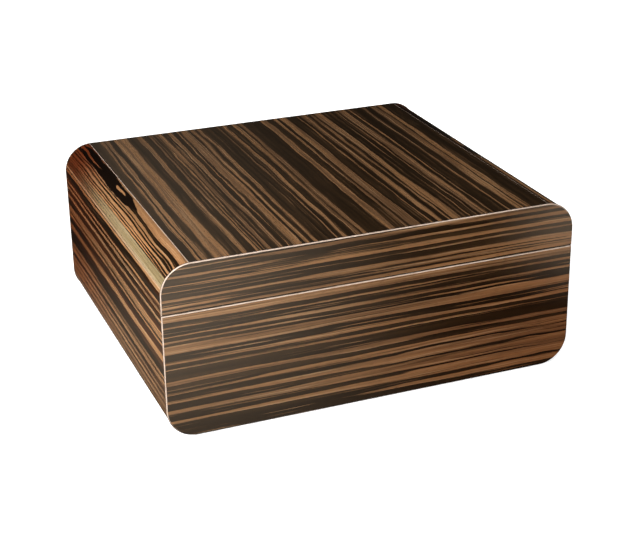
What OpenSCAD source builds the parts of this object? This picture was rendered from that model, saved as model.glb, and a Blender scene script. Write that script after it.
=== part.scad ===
// Desktop humidor: a veneered box with rounded long edges, a lid on quadrant
// hinges, a cedar lining that stands up as a sealing lip, a sliding tray with
// a divider, a lower divider, and a humidifier and hygrometer inside the lid.
// Millimetres. X runs right seen from the front, Y to the back, Z up.
// The origin is the middle of the felt underside.

/* [Box] */
// Overall width of the wooden box
box_w = 300; // [285:1:330]
// Overall depth of the wooden box
box_d = 260; // [245:1:290]
// Height of the wooden box without its felt
box_h = 124; // [120:1:140]
// Height of the lid, from the middle of the parting gap
lid_h = 34; // [33:0.5:38]
// Radius of the four long rounded edges
corner_r = 21; // [19:0.5:23]
// Width of a corner moulding, across the top or the bottom
corner_w = 20; // [18:0.5:23]
// Height of a corner moulding, down or up the side
corner_drop = 15.5; // [14:0.5:18]

/* [Panels] */
// Thickness of the front, back and side walls
panel_t = 10; // [9.5:0.1:12]
// Thickness of the top panel
top_t = 9; // [7:0.5:10]
// Thickness of the bottom panel
floor_t = 9; // [7:0.5:10]
// Thickness of the veneered sheets on the front and back
face_t = 1.2; // [1:0.1:1.6]
// Rounding of the arrises around the front and back sheets
edge_ease = 0.8; // [0.4:0.1:0.9]
// Bevel on the outer arris of the side rims
rim_ease = 0.5; // [0.3:0.1:0.8]
// Bevel on both sides of the seams along the corner mouldings
seam_ease = 0.3; // [0.2:0.05:0.4]
// Gap between the rims of lid and base
part_gap = 0.4; // [0.3:0.05:0.8]
// Thickness of the felt
felt_t = 1; // [0.8:0.1:2]
// How far the felt stays inside the flat underside
felt_inset = 4; // [2:0.5:10]

/* [Cedar lining] */
// Thickness of the upright lining boards
liner_t = 5; // [4:0.1:6]
// Thickness of the lining boards on the floor and under the top
liner_flat_t = 4; // [3:0.1:5]
// Height of the sealing lip above the parting gap
lip_h = 6; // [4:0.5:7]
// Space between the lip and the walls of the lid
lip_clear = 0.5; // [0.4:0.05:0.8]
// Space between the top of the lip and the lid lining
lip_gap = 0.8; // [0.5:0.1:1.5]
// Bevel on the outer arris of the lip
lip_bevel = 1.2; // [0.6:0.1:2]

/* [Quadrant hinges] */
// Length of each leg of a hinge leaf
leaf_len = 44; // [42:0.5:52]
// Thickness of a hinge leaf
leaf_t = 1.8; // [1.5:0.1:2.2]
// Space left in plan around a leaf in its mortise
leaf_fit = 0.15; // [0.1:0.05:0.3]
// Wood left between a leaf and the inner face of the wall
leaf_side = 0.5; // [0.35:0.05:0.8]
// Radius of the hinge barrel
knuckle_r = 2.6; // [2.3:0.1:2.8]
// Space around the barrel
knuckle_gap = 0.3; // [0.25:0.05:0.5]
// Length of the hinge barrel
barrel_len = 27; // [24:1:32]
// Distance of the barrel from the side of the box
barrel_in = 9; // [7:0.5:10]
// Space between neighbouring knuckles
knuckle_side = 0.3; // [0.2:0.05:0.5]
// Radius of the hinge pin
pin_r = 1.2; // [1:0.05:1.4]
// Running clearance of the pin in the knuckles
pin_fit = 0.05; // [0.03:0.01:0.08]
// Angle to which the lid opens
lid_open = 95; // [90:1:98]
// Mean radius of the curved stay about the hinge axis
stay_r = 16; // [15.5:0.1:16.5]
// Width of the stay, measured radially
stay_w = 4; // [3:0.1:4.5]
// Thickness of the stay
stay_t = 1.6; // [1.2:0.1:2]
// Width of the head at each end of the stay
stay_head_w = 6; // [5:0.1:6.2]
// Length of a stay head, as an angle
stay_head_a = 8; // [6:0.5:9]
// Space beside and around a stay where it slides
stay_fit = 0.35; // [0.3:0.05:0.5]

/* [Screws] */
// Radius of a countersunk screw head
screw_head_r = 2.4; // [2.1:0.1:2.6]
// Radius of a screw shank
screw_r = 1.25; // [1:0.05:1.4]
// Length of a screw
screw_len = 11; // [8:0.5:13]
// Space around a screw
screw_fit = 0.05; // [0.03:0.01:0.1]
// Place of the inner screw in the side leg, as a share of the leg
side_screw = 0.62; // [0.6:0.01:0.66]
// Place of the inner screw in the back leg, as a share of the leg
back_screw = 0.36; // [0.34:0.01:0.5]
// Place of the outer screw in both legs, as a share of the leg
end_screw = 0.85; // [0.82:0.01:0.88]
// Width of the driver slot
screw_slot_w = 0.6; // [0.4:0.1:0.8]
// Depth of the driver slot
screw_slot_h = 0.6; // [0.3:0.1:0.7]

/* [Tray] */
// Length of the tray, along its way of sliding
tray_len = 160; // [140:1:170]
// Height of the tray
tray_h = 32; // [28:0.5:36]
// Thickness of the tray walls
tray_t = 6; // [5:0.1:7]
// Depth of the top of the tray below the parting gap
tray_drop = 6; // [4:0.5:9]
// Space around the tray where it slides
tray_clear = 0.6; // [0.4:0.05:1]
// Running height of a sliding piece above what carries it
slide_gap = 0.2; // [0.1:0.05:0.3]
// Number of fingers in a corner joint of the tray
finger_n = 5; // [3:2:7]
// Thickness of the tray floor
tray_floor_t = 4; // [3:0.1:5]
// Height of the tray floor above the underside of the tray
tray_floor_lift = 3; // [2:0.5:5]
// Depth of the groove that holds the tray floor
groove_d = 3; // [2:0.1:3.5]
// Space around the tray floor in its groove
groove_fit = 0.1; // [0.05:0.05:0.2]
// Number of air slots in the tray floor
slot_n = 9; // [5:1:11]
// Width of an air slot
slot_w = 6; // [4:0.5:8]
// Solid margin at the ends of the air slots
slot_margin = 14; // [10:1:25]
// Width of the finger notch in each end of the tray
notch_w = 70; // [50:1:90]
// Depth of the finger notch
notch_h = 13; // [9:0.5:15]
// Radius of the lower corners of the finger notch
notch_r = 6; // [4:0.5:8]
// Width of a tray rail
rail_w = 9; // [7:0.5:12]
// Height of a tray rail
rail_h = 10; // [8:0.5:14]

/* [Dividers] */
// Thickness of a divider
divider_t = 5; // [4:0.1:6]
// Space at the ends of a divider
divider_clear = 0.5; // [0.3:0.05:0.8]
// Depth of the top of the tray divider below the tray top
divider_drop = 3; // [1:0.5:6]
// Radius of the round air holes in the dividers
divider_hole_r = 6; // [4:0.5:7]
// Number of air holes in a divider
divider_hole_n = 5; // [3:1:7]

/* [Humidifier] */
// Width of the humidifier
hum_w = 132; // [120:1:140]
// Depth of the humidifier, front to back
hum_d = 60; // [50:1:80]
// Height of the humidifier case
hum_h = 10.5; // [10:0.1:11.5]
// Wall of the humidifier case
hum_wall = 2; // [1.6:0.1:2.4]
// Space left of the humidifier, as a share of the free width of the lid
hum_margin = 0.25; // [0.18:0.01:0.3]
// Thickness of the grille
grille_t = 2; // [1.6:0.1:2.4]
// Number of vent slots
vent_n = 9; // [7:1:9]
// Width of a vent slot
vent_w = 4.5; // [3.5:0.1:5]
// Length of a vent slot, as a share of the inner depth
vent_share = 0.3; // [0.24:0.01:0.32]
// Distance of a vent row from the middle, as a share of the inner depth
row_share = 0.26; // [0.25:0.01:0.27]
// Length of the thumb rib, as a share of the inner depth
thumb_share = 0.13; // [0.1:0.01:0.15]
// Distance of a magnet from the middle, as a share of the width
magnet_share = 0.3; // [0.25:0.01:0.34]
// Travel of the vent shutter
shutter_travel = 6; // [5:0.1:6.5]
// Thickness of the vent shutter
shutter_t = 1.2; // [1:0.1:1.4]
// Space around the vent shutter
shutter_fit = 0.3; // [0.2:0.05:0.4]
// Height of the thumb rib below the face of the grille
thumb_h = 1.2; // [0.8:0.1:1.6]
// Thickness of the foam block
foam_h = 5; // [4:0.1:5.2]

/* [Hygrometer] */
// Outer radius of the hygrometer case
gauge_r = 28; // [26:0.5:31]
// Height of the hygrometer case
gauge_h = 10.5; // [10:0.1:11.5]
// Wall of the hygrometer case
gauge_wall = 2; // [1.6:0.1:2.2]
// Space right of the hygrometer, as a share of the free width of the lid
gauge_margin = 0.42; // [0.35:0.01:0.48]
// Overhang of the brass bezel over the glass
bezel_lap = 2.4; // [2:0.1:3]
// Thickness of the bezel
bezel_t = 1.4; // [1:0.1:1.8]
// Thickness of the glass
glass_t = 1.5; // [1.2:0.1:2]
// Thickness of the dial
dial_t = 0.8; // [0.6:0.1:1]
// Space around the dial and the glass
gauge_fit = 0.2; // [0.1:0.05:0.3]
// Radius of the spindle
spindle_r = 0.9; // [0.7:0.05:1.1]
// Running clearance of the needle on its spindle
spindle_fit = 0.06; // [0.04:0.01:0.08]
// Radius of the needle hub
hub_r = 2.4; // [2:0.1:3]
// Length of the needle from its axis
needle_len = 18; // [16:0.5:19]
// Width of the needle
needle_w = 1.2; // [0.8:0.1:1.6]
// Thickness of the needle
needle_t = 0.6; // [0.5:0.1:0.8]

/* [Magnets] */
// Thickness of the steel plates stuck to the lid lining
plate_t = 0.8; // [0.6:0.1:1]
// Radius of the steel plates
plate_r = 12; // [10:0.5:13]
// Thickness of a magnet
magnet_t = 2; // [1.6:0.1:2.2]
// Radius of a magnet
magnet_r = 9; // [7:0.5:9.5]

/* [Hidden] */
$fn = 64;
over = 1;
diagonal = sqrt(2);

// Outer faces, and the planes that the walls and the lining share
x_out = box_w / 2;
y_out = box_d / 2;
x_in = x_out - panel_t;
y_in = y_out - panel_t;
x_cav = x_in - liner_t;
y_cav = y_in - liner_t;
y_end = y_out - face_t;
lid_x_in = x_in + lip_clear;
lid_y_in = y_in + lip_clear;
lid_x_cav = lid_x_in - liner_t;
seam_drop = corner_r - corner_drop;
seam_x = x_out - corner_r + sqrt(corner_r * corner_r - seam_drop * seam_drop);

// Heights
z_wood = felt_t;
z_top = z_wood + box_h;
z_part = z_top - lid_h;
z_base_rim = z_part - part_gap / 2;
z_lid_rim = z_part + part_gap / 2;
z_floor = z_wood + floor_t;
z_cav = z_floor + liner_flat_t;
z_ceiling = z_top - top_t;
z_lid_cav = z_ceiling - liner_flat_t;
z_lip = z_part + lip_h;
z_tray_top = z_part - tray_drop;
z_tray = z_tray_top - tray_h;
z_rail = z_tray - slide_gap;

// Hinges
leaf_back = knuckle_r + knuckle_gap;
leaf_w = panel_t - lip_clear - leaf_back - leaf_side;
leaf_in = (panel_t - leaf_w) / 2;
stay_x = panel_t / 2;
knuckle_len = barrel_len / 3;
stay_in = stay_r - stay_head_w / 2;
stay_out = stay_r + stay_head_w / 2;
stay_lock = asin((part_gap / 2 + leaf_t + slide_gap) / stay_in);
stay_half = lid_open / 2 + stay_lock;
stay_end = stay_half + stay_head_a;
side_screws = [leaf_len * side_screw, leaf_len * end_screw];
back_screws = [leaf_len * back_screw, leaf_len * end_screw];

// Tray and dividers
tray_x0 = -x_cav + tray_clear;
tray_x1 = tray_x0 + tray_len;
tray_y = y_cav - tray_clear;
tray_mid = (tray_x0 + tray_x1) / 2;
finger_h = tray_h / finger_n;
z_tray_floor = z_tray + tray_floor_lift;
z_tray_in = z_tray_floor + tray_floor_t;
slot_pitch = (tray_len - 2 * tray_t) / slot_n;

// Fittings in the lid, measured downwards from the lid lining
gauge_reach = gauge_r + gauge_fit + bezel_t;
lid_free = 2 * (lid_x_cav - gauge_reach) - hum_w;
hum_x = lid_free * hum_margin + hum_w / 2 - lid_x_cav;
hum_in_w = hum_w - 2 * hum_wall;
hum_in_d = hum_d - 2 * hum_wall;
case_back = plate_t + magnet_t + gauge_fit + hum_wall / 2;
hum_face = plate_t + hum_h;
shutter_face = hum_face - shutter_fit;
shutter_w = hum_in_w - shutter_travel - 2 * shutter_fit;
shutter_d = hum_in_d - 2 * shutter_fit;
vent_pitch = shutter_w / (vent_n + 1);
vent_d = hum_in_d * vent_share;
vent_y = hum_in_d * row_share;
thumb_w = hum_wall;
thumb_d = hum_in_d * thumb_share;
magnet_x = hum_w * magnet_share;
gauge_x = lid_x_cav - lid_free * gauge_margin - gauge_reach;
gauge_face = plate_t + gauge_h;
glass_r = gauge_r - gauge_wall / 2;
dial_r = gauge_r - gauge_wall;
dial_seat = case_back + gauge_wall / 2;
glass_back = gauge_face - glass_t;
needle_back = dial_seat + dial_t + gauge_fit;

// Box between named planes.
module block(x0, x1, y0, y1, z0, z1) {
    translate([x0, y0, z0])
        cube([x1 - x0, y1 - y0, z1 - z0]);
}

// Flat board that is centred on the origin in plan.
module board(half_x, half_y, z0, z1) {
    block(-half_x, half_x, -half_y, half_y, z0, z1);
}

// Carries a profile drawn in X and Z along Y.
module along_y(half_y) {
    translate([0, half_y, 0])
        rotate([90, 0, 0])
            linear_extrude(2 * half_y)
                children();
}

// Carries a profile drawn in Y and Z along X.
module along_x(x0, x1) {
    translate([x0, 0, 0])
        rotate([90, 0, 90])
            linear_extrude(x1 - x0)
                children();
}

// The same piece on the left and on the right.
module both_sides() {
    children();
    mirror([1, 0, 0])
        children();
}

// End view of the whole wooden box.
module outline_2d() {
    translate([-x_out + corner_r, z_wood])
        square([box_w - 2 * corner_r, box_h]);
    translate([-x_out, z_wood + corner_r])
        square([box_w, box_h - 2 * corner_r]);
    for (side = [-1, 1], z = [z_wood + corner_r, z_top - corner_r])
        translate([side * (x_out - corner_r), z])
            circle(corner_r);
}

// Square on its corner that bevels the arrises at one point of an outline.
module vee_2d(x, z, ease) {
    translate([x, z])
        rotate(45)
            square(ease * diagonal, center = true);
}

// Bevels along every seam of the corner mouldings.
module seams_2d() {
    for (side = [-1, 1]) {
        for (z = [z_wood, z_top])
            vee_2d(side * (x_out - corner_w), z, seam_ease);
        for (z = [z_wood + corner_drop, z_top - corner_drop])
            vee_2d(side * seam_x, z, seam_ease);
    }
}

// Left wall between two heights, to the inner plane inner_x, rim at rim_z.
module side_2d(inner_x, z0, z1, rim_z) {
    difference() {
        intersection() {
            outline_2d();
            translate([-x_out, z0])
                square([x_out - inner_x, z1 - z0]);
        }
        seams_2d();
        vee_2d(-x_out, rim_z, rim_ease);
    }
}

// Flat panel between the corner mouldings.
module flat_panel(z0, z1) {
    along_y(y_end)
        difference() {
            translate([corner_w - x_out, z0])
                square([box_w - 2 * corner_w, z1 - z0]);
            seams_2d();
        }
}

// Left corner moulding, hollowed to the inner planes of wall and flat panel.
module corner_2d(z0, z1, inner_x, inner_z0, inner_z1) {
    difference() {
        intersection() {
            outline_2d();
            translate([-x_out, z0])
                square([corner_w, z1 - z0]);
        }
        translate([-inner_x, inner_z0])
            square([inner_x, inner_z1 - inner_z0]);
        seams_2d();
    }
}

// Cross-section of a sheet, outer face at 0, with both outer arrises rounded.
module eased_2d(tall) {
    translate([edge_ease, 0])
        square([face_t - edge_ease, tall]);
    translate([0, edge_ease])
        square([face_t, tall - 2 * edge_ease]);
    for (z = [edge_ease, tall - edge_ease])
        translate([edge_ease, z])
            intersection() {
                circle(edge_ease);
                translate([-edge_ease, -edge_ease])
                    square([edge_ease, 2 * edge_ease]);
            }
}

// Half cross-section of a round of a sheet, outer face at face_t.
module eased_round_2d(r) {
    square([r - edge_ease, face_t]);
    square([r, face_t - edge_ease]);
    translate([r - edge_ease, face_t - edge_ease])
        intersection() {
            circle(edge_ease);
            square(edge_ease);
        }
}

// Upright strip of a sheet beside its round, rim at 0.
module sheet_strip(tall) {
    intersection() {
        along_x(x_out - corner_r, x_out)
            eased_2d(2 * tall);
        linear_extrude(tall - corner_r)
            translate([x_out, 0])
                rotate(90)
                    eased_2d(2 * corner_r);
    }
}

// Veneered sheet with its rim at 0, rounded above, outer face at Y = 0.
module face_sheet(tall) {
    along_x(-x_out + corner_r, x_out - corner_r)
        eased_2d(tall);
    both_sides() {
        sheet_strip(tall);
        translate([x_out - corner_r, face_t, tall - corner_r])
            rotate([90, 0, 0])
                rotate_extrude(angle = 90)
                    eased_round_2d(corner_r);
    }
}

// Lining board on the front side, mitred at both ends.
module liner_board(half_len, half_off, z0, z1, bevel) {
    intersection() {
        translate([0, 0, z0])
            linear_extrude(z1 - z0)
                polygon([
                    [-half_len, -half_off],
                    [half_len, -half_off],
                    [half_len - liner_t, liner_t - half_off],
                    [liner_t - half_len, liner_t - half_off]
                ]);
        along_x(-half_len, half_len)
            polygon([
                [-half_off, z0],
                [liner_t - half_off, z0],
                [liner_t - half_off, z1],
                [bevel - half_off, z1],
                [-half_off, z1 - bevel]
            ]);
    }
}

// Moves a left hinge piece to its axis; X then runs inwards from the side.
module at_hinge() {
    translate([-x_out, y_out, z_part])
        children();
}

// Plan of a hinge leaf, grown by a space.
module leaf_2d(space) {
    translate([leaf_in - space, -leaf_len - space])
        square([leaf_w + 2 * space, leaf_len - leaf_back + 2 * space]);
    translate([leaf_in - space, -leaf_back - leaf_w - space])
        square([leaf_len - leaf_in + 2 * space, leaf_w + 2 * space]);
}

// Places a piece at each screw of a leaf.
module at_screws() {
    for (y = side_screws)
        translate([stay_x, -y, -part_gap / 2])
            children();
    for (x = back_screws)
        translate([x, -leaf_back - leaf_w / 2, -part_gap / 2])
            children();
}

// Countersunk screw, or the hole for it when space is not zero.
module screw_body(space) {
    rotate_extrude()
        polygon([
            [0, -screw_len - space],
            [screw_r + space, -screw_len - space],
            [screw_r + space, screw_r - screw_head_r],
            [screw_head_r + space, 0],
            [screw_head_r + space, space],
            [0, space]
        ]);
}

// Slotted screw, its head a little below the face of the leaf.
module screw() {
    difference() {
        translate([0, 0, -screw_fit / 2])
            screw_body(0);
        translate([-screw_head_r, -screw_slot_w / 2, -screw_fit / 2 - screw_slot_h])
            cube([2 * screw_head_r, screw_slot_w, over]);
    }
}

// Round bar along the hinge axis.
module axis_bar(r, x0, x1) {
    translate([x0, 0, 0])
        rotate([0, 90, 0])
            cylinder(r = r, h = x1 - x0);
}

// One knuckle with the tab that joins it to the leaf below the axis.
module knuckle(x0, x1) {
    axis_bar(knuckle_r, x0, x1);
    block(x0, x1, -leaf_back - leaf_in, 0, -part_gap / 2 - leaf_t, -part_gap / 2);
}

// Left leaf of the base, carrying the knuckles numbered in list.
module leaf(list) {
    difference() {
        union() {
            translate([0, 0, -part_gap / 2 - leaf_t])
                linear_extrude(leaf_t)
                    leaf_2d(0);
            for (i = list)
                knuckle(
                    barrel_in + i * knuckle_len + knuckle_side / 2,
                    barrel_in + (i + 1) * knuckle_len - knuckle_side / 2
                );
        }
        axis_bar(pin_r + pin_fit, 0, leaf_len + barrel_len);
        at_screws()
            screw_body(screw_fit);
        block(
            stay_x - stay_t / 2 - stay_fit, stay_x + stay_t / 2 + stay_fit,
            -stay_r - stay_w / 2 - stay_fit, -stay_r + stay_w / 2 + stay_fit,
            -part_gap - leaf_t - over, over
        );
    }
}

// Everything that a left base leaf and stay need cut out of the wood.
module leaf_cut() {
    translate([0, 0, -part_gap / 2 - leaf_t])
        linear_extrude(leaf_t + over)
            leaf_2d(leaf_fit);
    axis_bar(leaf_back, barrel_in - knuckle_gap, barrel_in + barrel_len + knuckle_gap);
    block(
        barrel_in - knuckle_gap, barrel_in + barrel_len + knuckle_gap,
        -leaf_back - leaf_fit, over, -part_gap / 2 - leaf_t, over
    );
    at_screws()
        screw_body(screw_fit);
    block(
        stay_x - stay_t / 2 - stay_fit, stay_x + stay_t / 2 + stay_fit,
        -stay_out - stay_fit, stay_fit - stay_in * cos(stay_end),
        -stay_out * sin(stay_end) - stay_fit, over
    );
}

// Sector of a flat ring about the hinge axis, from angle a0 to a1 above the front.
module stay_sector(r0, r1, a0, a1) {
    translate([stay_x, 0, 0])
        rotate([0, 90, 0])
            rotate([0, 0, -90 - a1])
                rotate_extrude(angle = a1 - a0)
                    translate([r0, -stay_t / 2])
                        square([r1 - r0, stay_t]);
}

// Curved stay with a head at each end.
module stay() {
    stay_sector(stay_r - stay_w / 2, stay_r + stay_w / 2, -stay_half - over, stay_half + over);
    stay_sector(stay_in, stay_out, stay_half, stay_end);
    stay_sector(stay_in, stay_out, -stay_end, -stay_half);
}

// Hinge cuts of both sides, in the base or mirrored into the lid.
module hinge_cuts(up) {
    both_sides()
        at_hinge()
            mirror([0, 0, up])
                leaf_cut();
}

module base_felt() {
    color("darkgreen")
        board(x_out - corner_w - felt_inset, y_out - felt_inset, 0, felt_t);
}

module base_floor_panel() {
    color("saddlebrown")
        flat_panel(z_wood, z_floor);
}

// Left side wall of the base.
module base_side() {
    difference() {
        along_y(y_end)
            side_2d(x_in, z_wood + corner_drop, z_base_rim, z_base_rim);
        hinge_cuts(0);
    }
}

module base_left_side() {
    color("saddlebrown")
        base_side();
}

module base_right_side() {
    color("saddlebrown")
        mirror([1, 0, 0])
            base_side();
}

// Left lower corner moulding.
module base_corner() {
    along_y(y_end)
        corner_2d(z_wood, z_wood + corner_drop, x_in, z_floor, z_part);
}

module base_left_corner() {
    color("sienna")
        base_corner();
}

module base_right_corner() {
    color("sienna")
        mirror([1, 0, 0])
            base_corner();
}

module base_front_board() {
    color("peru")
        block(-x_in, x_in, -y_end, -y_in, z_floor, z_base_rim);
}

module base_back_board() {
    color("peru")
        difference() {
            block(-x_in, x_in, y_in, y_end, z_floor, z_base_rim);
            hinge_cuts(0);
        }
}

// Sheet of the base, outer face at the front.
module base_sheet() {
    translate([0, -y_out, z_base_rim])
        mirror([0, 0, 1])
            face_sheet(z_base_rim - z_wood);
}

module base_front_sheet() {
    color("chocolate")
        base_sheet();
}

module base_back_sheet() {
    color("chocolate")
        difference() {
            mirror([0, 1, 0])
                base_sheet();
            hinge_cuts(0);
        }
}

module base_floor_liner() {
    color("burlywood")
        board(x_in, y_in, z_floor, z_cav);
}

module base_front_liner() {
    color("burlywood")
        liner_board(x_in, y_in, z_cav, z_lip, lip_bevel);
}

module base_back_liner() {
    color("burlywood")
        mirror([0, 1, 0])
            liner_board(x_in, y_in, z_cav, z_lip, lip_bevel);
}

module base_left_liner() {
    color("burlywood")
        rotate(-90)
            liner_board(y_in, x_in, z_cav, z_lip, lip_bevel);
}

module base_right_liner() {
    color("burlywood")
        rotate(90)
            liner_board(y_in, x_in, z_cav, z_lip, lip_bevel);
}

module front_tray_rail() {
    color("tan")
        block(-x_cav, x_cav, -y_cav, rail_w - y_cav, z_rail - rail_h, z_rail);
}

module back_tray_rail() {
    color("tan")
        block(-x_cav, x_cav, y_cav - rail_w, y_cav, z_rail - rail_h, z_rail);
}

module left_base_leaf() {
    color("gold")
        at_hinge()
            leaf([0, 2]);
}

module right_base_leaf() {
    color("gold")
        mirror([1, 0, 0])
            at_hinge()
                leaf([0, 2]);
}

module hinge_pins() {
    color("silver")
        both_sides()
            at_hinge()
                axis_bar(pin_r, barrel_in, barrel_in + barrel_len);
}

module base_leaf_screws() {
    color("goldenrod")
        both_sides()
            at_hinge()
                at_screws()
                    screw();
}

module left_stay() {
    color("gold")
        at_hinge()
            stay();
}

module right_stay() {
    color("gold")
        mirror([1, 0, 0])
            at_hinge()
                stay();
}

// Space that the tray floor fills, grown by a clearance.
module tray_floor_blank(space) {
    block(
        tray_x0 + tray_t - groove_d, tray_x1 - tray_t + groove_d,
        -tray_y + tray_t - groove_d, tray_y - tray_t + groove_d,
        z_tray_floor - space, z_tray_floor + tray_floor_t + space
    );
}

// Fingers of a corner joint in plan cell x0, y0, counted from the bottom.
module fingers(first, x0, y0) {
    for (i = [first : 2 : finger_n - 1])
        block(x0, x0 + tray_t, y0, y0 + tray_t, z_tray + i * finger_h, z_tray + (i + 1) * finger_h);
}

// Long wall of the tray on the front side.
module tray_long() {
    difference() {
        union() {
            block(tray_x0 + tray_t, tray_x1 - tray_t, -tray_y, tray_t - tray_y, z_tray, z_tray_top);
            fingers(0, tray_x0, -tray_y);
            fingers(0, tray_x1 - tray_t, -tray_y);
        }
        tray_floor_blank(groove_fit);
    }
}

// Finger notch, drawn in Y and Z, open at the top of the tray.
module notch_2d() {
    for (side = [-1, 1])
        translate([side * (notch_w / 2 - notch_r), z_tray_top - notch_h + notch_r])
            circle(notch_r);
    translate([notch_r - notch_w / 2, z_tray_top - notch_h])
        square([notch_w - 2 * notch_r, notch_h + over]);
    translate([-notch_w / 2, z_tray_top - notch_h + notch_r])
        square([notch_w, notch_h - notch_r + over]);
}

// End wall of the tray whose left face is at x0.
module tray_end(x0) {
    difference() {
        union() {
            block(x0, x0 + tray_t, tray_t - tray_y, tray_y - tray_t, z_tray, z_tray_top);
            fingers(1, x0, -tray_y);
            fingers(1, x0, tray_y - tray_t);
        }
        tray_floor_blank(groove_fit);
        along_x(x0 - over, x0 + tray_t + over)
            notch_2d();
    }
}

module tray_front() {
    color("wheat")
        tray_long();
}

module tray_back() {
    color("wheat")
        mirror([0, 1, 0])
            tray_long();
}

module tray_left() {
    color("wheat")
        tray_end(tray_x0);
}

module tray_right() {
    color("wheat")
        tray_end(tray_x1 - tray_t);
}

// Round-ended air slot of the tray floor, centred in Y.
module air_slot_2d() {
    reach = tray_y - tray_t - slot_margin - slot_w / 2;
    for (side = [-1, 1])
        translate([0, side * reach])
            circle(slot_w / 2);
    translate([-slot_w / 2, -reach])
        square([slot_w, 2 * reach]);
}

module tray_floor() {
    color("navajowhite")
        difference() {
            tray_floor_blank(0);
            for (i = [0 : slot_n - 1])
                translate([tray_x0 + tray_t + (i + 0.5) * slot_pitch, 0, z_tray])
                    linear_extrude(tray_h)
                        air_slot_2d();
        }
}

// Row of round holes through a divider at height z.
module divider_holes(x, reach, z) {
    pitch = 2 * reach / divider_hole_n;
    for (i = [0 : divider_hole_n - 1])
        translate([x - divider_t, (i + 0.5) * pitch - reach, z])
            rotate([0, 90, 0])
                cylinder(r = divider_hole_r, h = 2 * divider_t);
}

module tray_divider() {
    reach = tray_y - tray_t - divider_clear;
    low = z_tray_in + slide_gap;
    high = z_tray_top - divider_drop;
    color("moccasin")
        difference() {
            block(tray_mid - divider_t / 2, tray_mid + divider_t / 2, -reach, reach, low, high);
            divider_holes(tray_mid, reach, (low + high) / 2);
        }
}

module base_divider() {
    reach = y_cav - divider_clear;
    neck = y_cav - rail_w - divider_clear;
    low = z_cav + slide_gap;
    step = z_rail - rail_h - divider_clear;
    high = z_rail - divider_clear;
    color("moccasin")
        difference() {
            union() {
                block(-divider_t / 2, divider_t / 2, -reach, reach, low, step);
                block(-divider_t / 2, divider_t / 2, -neck, neck, low, high);
            }
            divider_holes(0, neck, (low + high) / 2);
        }
}

module lid_top_panel() {
    color("saddlebrown")
        flat_panel(z_ceiling, z_top);
}

// Left side wall of the lid.
module lid_side() {
    difference() {
        along_y(y_end)
            side_2d(lid_x_in, z_lid_rim, z_top - corner_drop, z_lid_rim);
        hinge_cuts(1);
    }
}

module lid_left_side() {
    color("saddlebrown")
        lid_side();
}

module lid_right_side() {
    color("saddlebrown")
        mirror([1, 0, 0])
            lid_side();
}

// Left upper corner moulding.
module lid_corner() {
    difference() {
        along_y(y_end)
            corner_2d(z_top - corner_drop, z_top, lid_x_in, z_part, z_ceiling);
        hinge_cuts(1);
    }
}

module lid_left_corner() {
    color("sienna")
        lid_corner();
}

module lid_right_corner() {
    color("sienna")
        mirror([1, 0, 0])
            lid_corner();
}

module lid_front_board() {
    color("peru")
        block(-lid_x_in, lid_x_in, -y_end, -lid_y_in, z_lid_rim, z_ceiling);
}

module lid_back_board() {
    color("peru")
        difference() {
            block(-lid_x_in, lid_x_in, lid_y_in, y_end, z_lid_rim, z_ceiling);
            hinge_cuts(1);
        }
}

// Sheet of the lid, outer face at the front.
module lid_sheet() {
    translate([0, -y_out, z_lid_rim])
        face_sheet(z_top - z_lid_rim);
}

module lid_front_sheet() {
    color("chocolate")
        lid_sheet();
}

module lid_back_sheet() {
    color("chocolate")
        difference() {
            mirror([0, 1, 0])
                lid_sheet();
            hinge_cuts(1);
        }
}

module lid_top_liner() {
    color("burlywood")
        board(lid_x_in, lid_y_in, z_lid_cav, z_ceiling);
}

module lid_front_liner() {
    color("burlywood")
        liner_board(lid_x_in, lid_y_in, z_lip + lip_gap, z_lid_cav, 0);
}

module lid_back_liner() {
    color("burlywood")
        mirror([0, 1, 0])
            liner_board(lid_x_in, lid_y_in, z_lip + lip_gap, z_lid_cav, 0);
}

module lid_left_liner() {
    color("burlywood")
        rotate(-90)
            liner_board(lid_y_in, lid_x_in, z_lip + lip_gap, z_lid_cav, 0);
}

module lid_right_liner() {
    color("burlywood")
        rotate(90)
            liner_board(lid_y_in, lid_x_in, z_lip + lip_gap, z_lid_cav, 0);
}

module left_lid_leaf() {
    color("gold")
        at_hinge()
            mirror([0, 0, 1])
                leaf([1]);
}

module right_lid_leaf() {
    color("gold")
        mirror([1, 0, 0])
            at_hinge()
                mirror([0, 0, 1])
                    leaf([1]);
}

module lid_leaf_screws() {
    color("goldenrod")
        both_sides()
            at_hinge()
                mirror([0, 0, 1])
                    at_screws()
                        screw();
}

// Moves a fitting to its place under the lid lining; Z then runs downwards.
module under_lid(x) {
    translate([x, 0, z_lid_cav])
        mirror([0, 0, 1])
            children();
}

// Upright round disc between two depths.
module disc(r, z0, z1) {
    translate([0, 0, z0])
        cylinder(r = r, h = z1 - z0);
}

// Places a piece over both magnets of the humidifier and the hygrometer's one.
module at_magnets() {
    under_lid(hum_x - magnet_x)
        children();
    under_lid(hum_x + magnet_x)
        children();
    under_lid(gauge_x)
        children();
}

module lid_plates() {
    color("lightsteelblue")
        at_magnets()
            disc(plate_r, 0, plate_t);
}

module device_magnets() {
    color("dimgray")
        at_magnets()
            disc(magnet_r, plate_t, plate_t + magnet_t);
}

// Pocket in the back of a case for a magnet.
module magnet_pocket() {
    disc(magnet_r + gauge_fit, plate_t - over, plate_t + magnet_t + gauge_fit);
}

module humidifier_case() {
    color("black")
        under_lid(hum_x)
            difference() {
                board(hum_w / 2, hum_d / 2, plate_t, hum_face);
                board(hum_in_w / 2, hum_in_d / 2, case_back, hum_face + over);
                for (side = [-1, 1])
                    translate([side * magnet_x, 0, 0])
                        magnet_pocket();
            }
}

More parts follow.
